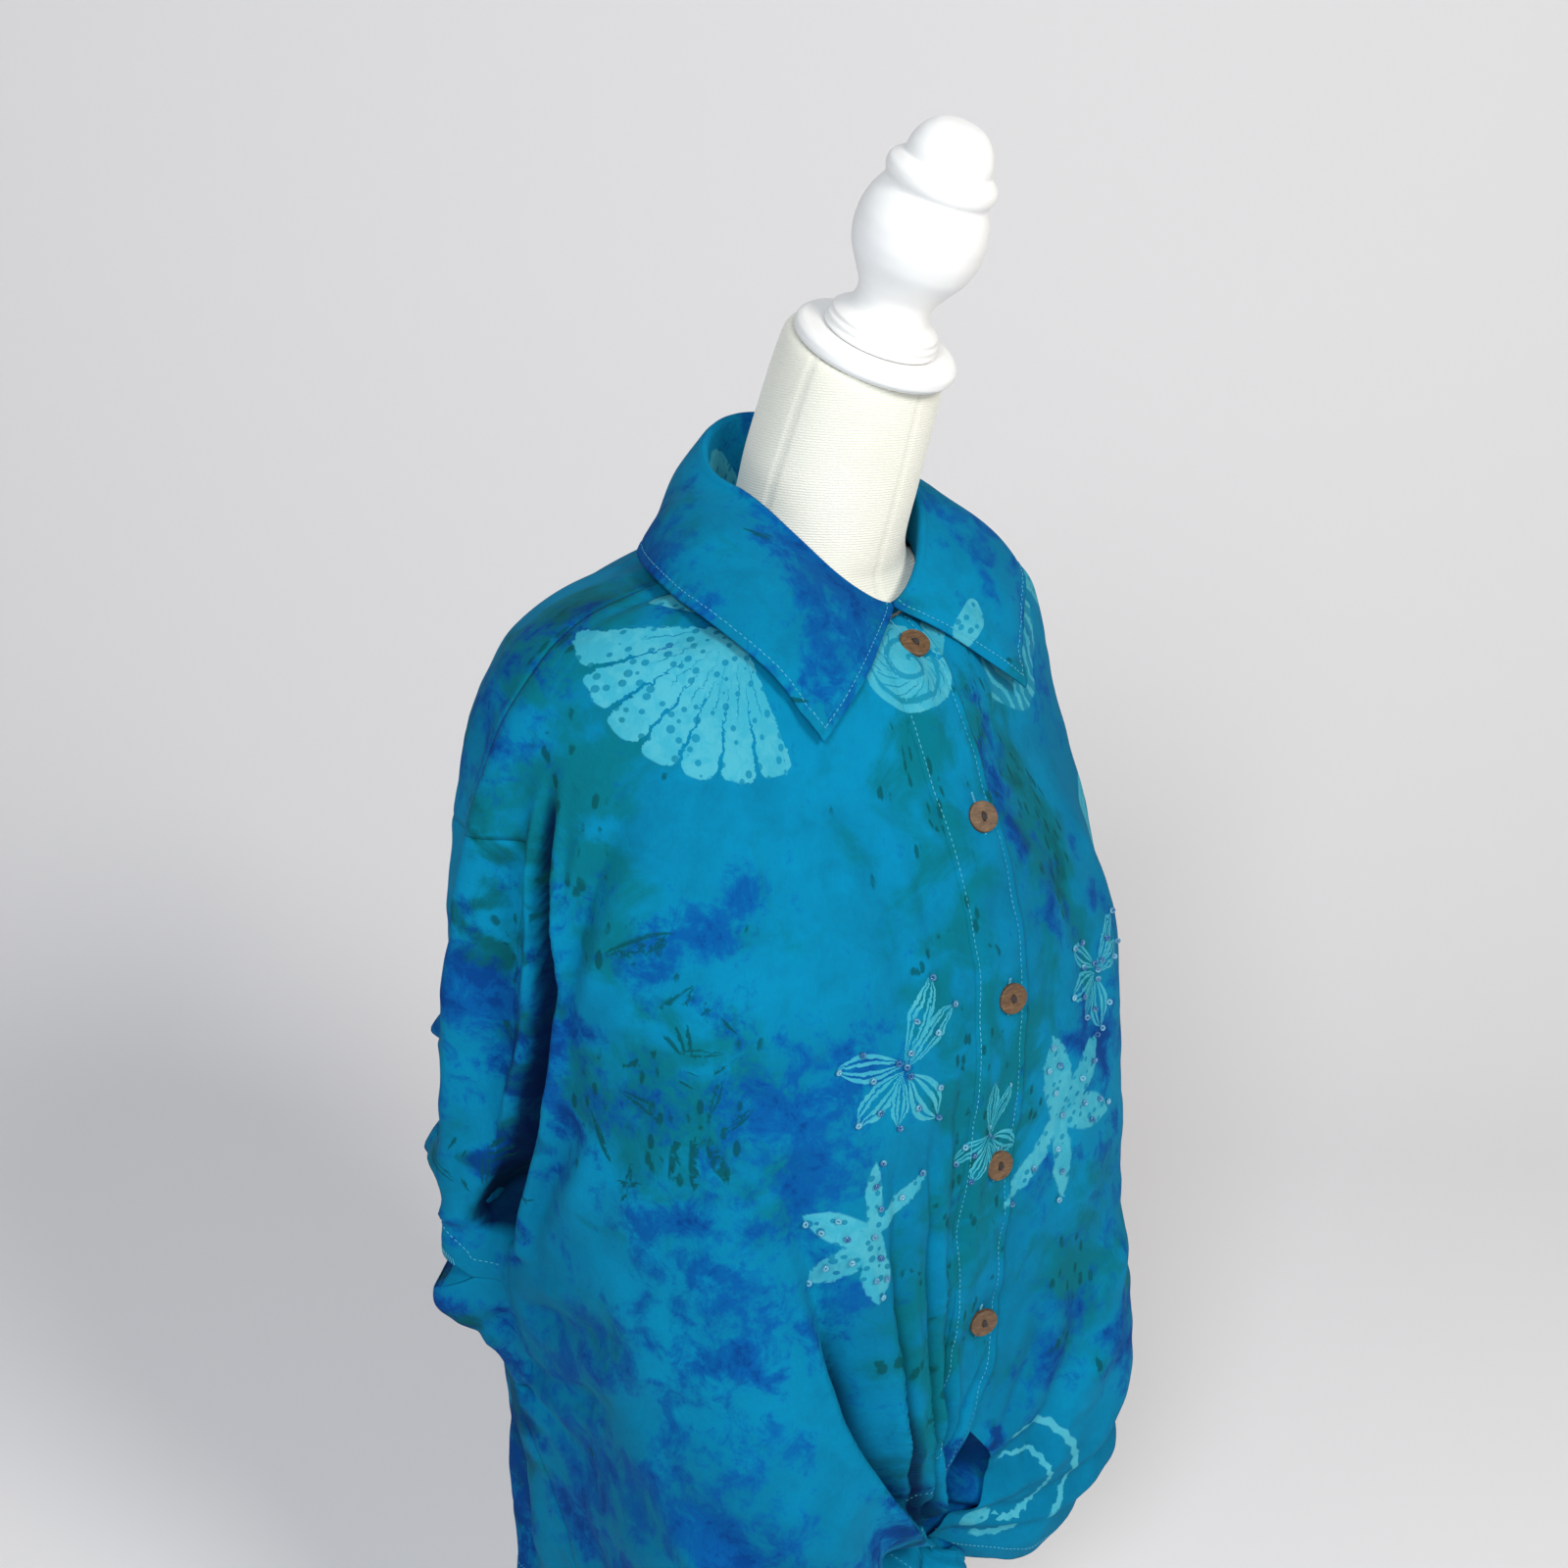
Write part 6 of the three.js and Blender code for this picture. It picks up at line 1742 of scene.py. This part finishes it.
bead_glass, tree, shader = new_material("bead_glass")
where = node(tree, "ShaderNodeTexCoord").outputs["Object"]
tinted = noise(tree, where, 90.0, 1.0)
tree.links.new(ramp(tree, tinted.value, [(0.42, (0.20, 0.55, 0.72, 1)), (0.58, (0.03, 0.16, 0.42, 1))]),
               shader.inputs["Base Color"])
shader.inputs["Roughness"].default_value = 0.06
shader.inputs["IOR"].default_value = 1.5
shader.inputs["Transmission Weight"].default_value = 0.45
smears = node(tree, "ShaderNodeBump", {"Height": noise(tree, where, 900.0, 2.0).value, "Strength": 0.08,
                                       "Distance": 0.0003})
tree.links.new(smears.outputs["Normal"], shader.inputs["Normal"])

bead_tree, bead_sockets, given, result = new_tree("sewn_beads", {
    "Bead Radius": "NodeSocketFloat", "Glass Radius": "NodeSocketFloat", "Seed": "NodeSocketInt",
    "Glass": "NodeSocketMaterial"})
spots = node(bead_tree, "GeometryNodeMeshToPoints", {"Mesh": given["Geometry"]})
ring = node(bead_tree, "GeometryNodeCurvePrimitiveCircle",
            {"Resolution": 10, "Radius": given["Bead Radius"]})
section = node(bead_tree, "GeometryNodeCurvePrimitiveCircle",
               {"Resolution": 6, "Radius": given["Glass Radius"]})
bead_shape = node(bead_tree, "GeometryNodeCurveToMesh",
                  {"Curve": ring.outputs[0], "Profile Curve": section.outputs[0]})
turn_by = node(bead_tree, "FunctionNodeRandomValue", {"Seed": given["Seed"]}, data_type="FLOAT_VECTOR")
turn_by.inputs["Min"].default_value = (1.30, -0.45, -1.20)
turn_by.inputs["Max"].default_value = (1.84, 0.45, 0.10)
placed = node(bead_tree, "GeometryNodeInstanceOnPoints", {
    "Points": spots.outputs[0], "Instance": bead_shape.outputs[0], "Rotation": turn_by.outputs[0]})
real = node(bead_tree, "GeometryNodeRealizeInstances", {0: placed.outputs[0]})
rounded_off = node(bead_tree, "GeometryNodeSetShadeSmooth", {0: real.outputs[0]})
finished = node(bead_tree, "GeometryNodeSetMaterial",
                {"Geometry": rounded_off.outputs[0], "Material": given["Glass"]})
bead_tree.links.new(finished.outputs[0], result["Geometry"])

bead_points = []
for motif, frame_of in STAMPED:
    kind, angle = motif[:2]
    if abs(angle) < 60 and kind in (STARFISH, BLOSSOM):
        spots = STARFISH_BEADS if kind == STARFISH else BLOSSOM_BEADS
        bead_points += list(on_cloth(motif, frame_of, spots, BEAD_LIFT))
grown("glass_beads", bead_points, [], bead_tree, bead_sockets, {
    "Bead Radius": BEAD_RADIUS, "Glass Radius": BEAD_GLASS, "Seed": 5, "Glass": bead_glass}, "button_wood")
